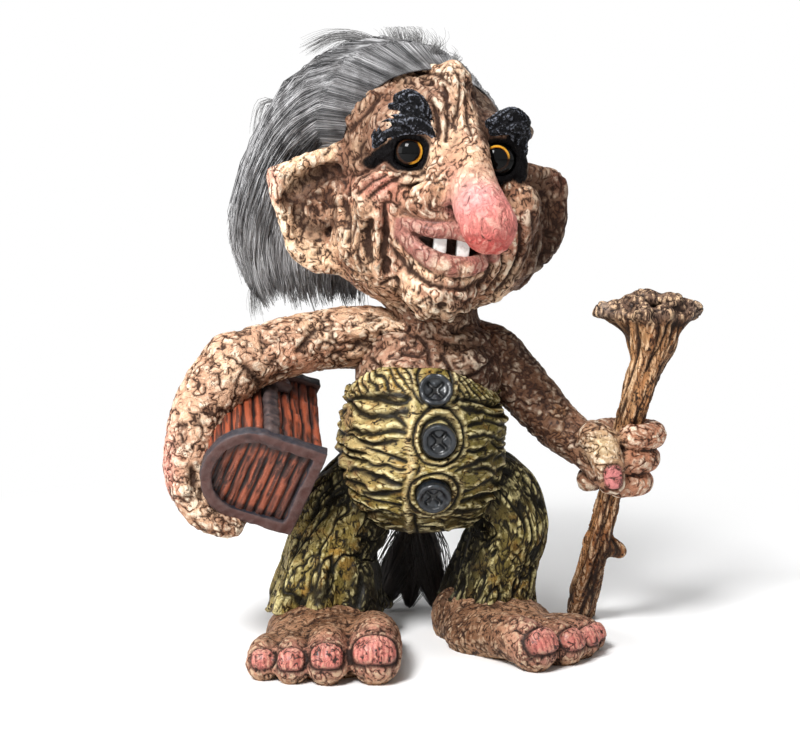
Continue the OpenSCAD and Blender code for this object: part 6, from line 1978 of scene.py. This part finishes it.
def make_stage(settings):
    """Floor that rises into a backdrop far behind, soft lights, and the camera of the photograph."""
    y = np.array([-2.5, 1.6, 1.9, 2.1, 2.2, 2.25, 2.25])
    z = np.array([0.0, 0.0, 0.03, 0.12, 0.3, 0.6, 3.0])
    x = np.array([-4.0, 4.0])
    points = np.array([(a, b, c) for b, c in zip(y, z) for a in x]) / MM
    k = np.arange(len(y) - 1)[:, None] * 2
    floor = build("floor", points, [np.hstack([k, k + 1, k + 3, k + 2])], floor_material(settings.floor_shade))
    white_world(settings.fill_light)
    for name, place, size, power in (("key_light", (-0.6, -1.08, 1.32), 0.5, 31.0),
                                     ("top_light", (-0.15, 0.1, 1.5), 0.9, 8.0),
                                     ("side_light", (-1.3, -0.5, 0.5), 0.8, 5.0)):
        area_light(name, place, size, power * settings.key_light)
    data = bpy.data.cameras.new("camera")
    data.lens, data.sensor_width, data.clip_end = CAMERA_LENS, FILM_WIDTH, 20.0
    camera = bpy.data.objects.new("camera", data)
    camera.location = CAMERA_PLACE
    camera.rotation_euler = (math.radians(CAMERA_TILT), 0.0, 0.0)
    bpy.context.scene.collection.objects.link(camera)
    bpy.context.scene.camera = camera
    bpy.context.scene.view_settings.view_transform = "Standard"


# Add-on

class TrollSettings(bpy.types.PropertyGroup):
    skin_step: FloatProperty(name="Skin step", description="Grid step of the castings' surfaces", default=0.00085,
                             min=0.0006, unit="LENGTH")
    carve_depth: FloatProperty(name="Carving", description="Depth of the folds and bark-like cuts in the cloth",
                               default=1.0, min=0.0, max=1.5, subtype="FACTOR")
    hair_count: IntProperty(name="Strands", description="Strands in each layer of the hair", default=2800, min=100)
    hair_width: FloatProperty(name="Strand width", description="Width of one strand of hair", default=0.00053,
                              min=0.0002, unit="LENGTH")
    # The wash colour also paints the painted shade that the wash attribute carries.
    wash_and_shade_colour: FloatVectorProperty(name="Wash", description="Dark wash in the skin's cuts", subtype="COLOR", size=3,
                                     default=(0.032, 0.015, 0.010))
    brush_colour: FloatVectorProperty(name="Dry brush", description="Pale paint on the skin's ridges", subtype="COLOR",
                                      size=3, default=(0.87, 0.74, 0.57))
    floor_shade: FloatProperty(name="Floor", description="Grey of the floor", default=0.9, min=0.1, max=1.0,
                               subtype="FACTOR")
    key_light: FloatProperty(name="Lamps", description="Strength of the lamps", default=1.25, min=0.0, soft_max=3.0)
    fill_light: FloatProperty(name="Fill", description="Strength of the even light", default=0.2, min=0.0,
                              soft_max=2.0)


# Painted finishes: wash, dry brush and size of the cuts in millimetres, and what differs from carved_paint's own
# settings. None takes the panel's colour.
FINISHES = {
    "skin_paint": (None, None, 4.8, {"depth": 0.8, "stretch": (1, 1, 0.6)}),
    "limb_paint": (None, None, 5.6, {"depth": 0.9, "stretch": (0.8, 1, 1)}),
    "foot_paint": ((0.020, 0.012, 0.010), (0.58, 0.42, 0.28), 3.8, {"depth": 0.7, "stretch": (1, 1, 0.7)}),
    "cloth_paint": ((0.006, 0.005, 0.003), (0.76, 0.66, 0.36), 3.8,
                    {"depth": 0.8, "roughness": 0.5, "stretch": (0.5, 0.5, 1.2)}),
    "leg_paint": ((0.006, 0.005, 0.003), (0.66, 0.57, 0.28), 4.0,
                  {"depth": 1.0, "roughness": 0.5, "width": 1.5, "stretch": (1.2, 1.2, 0.5)}),
    "stick_paint": ((0.018, 0.010, 0.007), (0.76, 0.52, 0.32), 3.0,
                    {"depth": 0.5, "width": 1.2, "stretch": (1, 1, 0.14)}),
    "brow_paint": ((0.003, 0.003, 0.004), (0.20, 0.215, 0.26), 2.0, {"depth": 0.4, "roughness": 0.4}),
}


def finish(name, settings):
    """The painted finish with this name, made when it is first asked for."""
    dark, light, size, more = FINISHES[name]
    return bpy.data.materials.get(name) or carved_paint(
        name, dark or tuple(settings.wash_and_shade_colour), light or tuple(settings.brush_colour), size, **more)


class Step:
    """What the operators share: each makes its pieces with the panel's settings."""

    def execute(self, context):
        self.make(context.scene.troll)
        return {"FINISHED"}


class MakeHead(Step, bpy.types.Operator):
    """Head casting with its nose, lips, folds and ears"""
    bl_idname = "troll.head"
    bl_label = "Head"

    def make(self, settings):
        head_piece(settings.skin_step * 1000 + 0.14, finish("skin_paint", settings))


class MakeFace(Step, bpy.types.Operator):
    """Glass eyes, brows and teeth"""
    bl_idname = "troll.face"
    bl_label = "Eyes, brows and teeth"

    def make(self, settings):
        eye, tooth = eye_material(), tooth_material()
        brow = finish("brow_paint", settings)
        eye_piece("right_glass_eye", "right_eye", EYES[0], (-0.25, -1, 0.03), (1, -0.35), eye)
        eye_piece("left_glass_eye", "left_eye", EYES[1], (-0.17, -1, 0.0), (0.35, 0.95), eye)
        brow_piece("right_brow_tufts", "right_brow", RIGHT_BROW, brow, 0.5)
        brow_piece("left_brow_tufts", "left_brow", LEFT_BROW, brow, 0.5)
        for side, mid in zip(("right", "left"), TEETH):
            tooth_piece(f"{side}_front_tooth", f"{side}_tooth", mid, TOOTH_SIZE, tooth)


class MakeHair(Step, bpy.types.Operator):
    """Hair: the mass under it, layers of strands and loose wisps"""
    bl_idname = "troll.hair"
    bl_label = "Hair"

    def make(self, settings):
        fibre = hair_material()
        hair_under(backing_material(), 1.4)
        for k, depth in enumerate((10.0, 7.0, 4.5, 2.5, 1.2)):
            hair_strands(f"hair_layer_{k + 1}", 20 + k, settings.hair_count, depth, fibre, settings, GUIDES)
        hair_strands("hair_locks", 40, settings.hair_count, 7.0, fibre, settings, FRONT_LOCKS)
        wisp_strands("hair_wisps", fibre, settings)


class MakeTrunk(Step, bpy.types.Operator):
    """Bare trunk between the bib and the chin"""
    bl_idname = "troll.trunk"
    bl_label = "Trunk"

    def make(self, settings):
        trunk_piece(settings.skin_step * 1000 + 0.1, finish("limb_paint", settings))


class MakeArms(Step, bpy.types.Operator):
    """Arms, with the hand under the chest and the fist round the stick"""
    bl_idname = "troll.arms"
    bl_label = "Arms"

    def make(self, settings):
        right_arm_piece(settings.skin_step * 1000 + 0.05, finish("limb_paint", settings))
        left_arm_piece(settings.skin_step * 1000 - 0.05, finish("limb_paint", settings))


class MakeTrousers(Step, bpy.types.Operator):
    """Belly of the trousers and the two legs"""
    bl_idname = "troll.trousers"
    bl_label = "Trousers"

    def make(self, settings):
        trousers_piece(finish("cloth_paint", settings), settings)
        leg_piece("trousers_right_leg", "right_trouser_leg", RIGHT_LEG, (0.3, 1, 0.1), 3,
                  finish("leg_paint", settings), settings, 0.0)
        leg_piece("trousers_left_leg", "left_trouser_leg", LEFT_LEG, (-0.2, 1, 0.1), 6, finish("leg_paint", settings),
                  settings, 0.35)


class MakeButtons(Step, bpy.types.Operator):
    """Three lacquered buttons down the belly"""
    bl_idname = "troll.buttons"
    bl_label = "Buttons"

    def make(self, settings):
        lacquer = button_material()
        for name, (level, across, tip) in zip(("top", "middle", "bottom"), BUTTONS):
            button_piece(f"{name}_button_disc", f"{name}_button", level, across, tip, lacquer)


# Place x, y and radius of each toe, and half width and half height of its nail
RIGHT_TOES = [(26, -106.2, 12.8, 10.6, 7.2), (3.5, -106, 10.8, 7.8, 6.2), (-13.5, -103, 9.2, 6.4, 5.6),
              (-27.5, -97, 8.2, 5.4, 5.0)]
LEFT_TOES = [(-21, -84, 11.6, 9.4, 6.6), (-2, -85, 9.8, 7.0, 5.8), (13, -82, 8.6, 6.0, 5.2), (25, -76, 7.8, 5.2, 4.8)]


class MakeFeet(Step, bpy.types.Operator):
    """Two broad bare feet with their nails"""
    bl_idname = "troll.feet"
    bl_label = "Feet"

    def make(self, settings):
        step, skin = settings.skin_step * 1000 - 0.05, finish("foot_paint", settings)
        foot_piece("right_foot_casting", "right_foot", (-57, 8, 0), 0, RIGHT_TOES, 106, 74, skin, 121, step)
        foot_piece("left_foot_casting", "left_foot", (14, 2, 0), 42, LEFT_TOES, 86, 60, skin, 131, step)


class MakeStick(Step, bpy.types.Operator):
    """Walking stick with its low knob and spread crown"""
    bl_idname = "troll.stick"
    bl_label = "Walking stick"

    def make(self, settings):
        stick_piece(0.75, finish("stick_paint", settings))


class MakeTail(Step, bpy.types.Operator):
    """Tail and its tuft between the legs"""
    bl_idname = "troll.tail"
    bl_label = "Tail"

    def make(self, settings):
        tail_pieces(finish("skin_paint", settings), bpy.data.materials.get("hair_fibre") or hair_material(), settings)


class MakeChest(Step, bpy.types.Operator):
    """Chest: planks, end frames, strap and hasp"""
    bl_idname = "troll.chest"
    bl_label = "Chest"

    def make(self, settings):
        chest_pieces(wood_material(), metal_material())


class FinishDowels(Step, bpy.types.Operator):
    """Steel finish for the dowels inside the joints"""
    bl_idname = "troll.dowels"
    bl_label = "Dowels"

    def make(self, settings):
        steel = dowel_material()
        for name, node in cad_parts.items():
            if name.endswith("_dowel"):
                for place in node.material_slots:
                    place.material = steel


class MakeStage(Step, bpy.types.Operator):
    """Floor, world, lights and the camera of the photograph"""
    bl_idname = "troll.stage"
    bl_label = "Stage"

    def make(self, settings):
        make_stage(settings)


STEPS = (MakeStage, MakeHead, MakeFace, MakeHair, MakeTrunk, MakeArms, MakeTrousers, MakeButtons, MakeFeet, MakeStick,
         MakeTail, MakeChest, FinishDowels)


class TrollPanel(bpy.types.Panel):
    """The pieces of the figure, one button each"""
    bl_idname = "VIEW3D_PT_troll"
    bl_label = "Troll figure"
    bl_space_type = "VIEW_3D"
    bl_region_type = "UI"
    bl_category = "Troll"

    def draw(self, context):
        for key in TrollSettings.__annotations__:
            self.layout.prop(context.scene.troll, key)
        for step in STEPS:
            self.layout.operator(step.bl_idname)


CLASSES = (TrollSettings, *STEPS, TrollPanel)


def register():
    for kind in CLASSES:
        bpy.utils.register_class(kind)
    bpy.types.Scene.troll = PointerProperty(type=TrollSettings)


def unregister():
    del bpy.types.Scene.troll
    for kind in reversed(CLASSES):
        bpy.utils.unregister_class(kind)


def main():
    """Registers the add-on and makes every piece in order."""
    register()
    for step in STEPS:
        group, name = step.bl_idname.split(".")
        getattr(getattr(bpy.ops, group), name)()


if __name__ == "__main__":
    main()
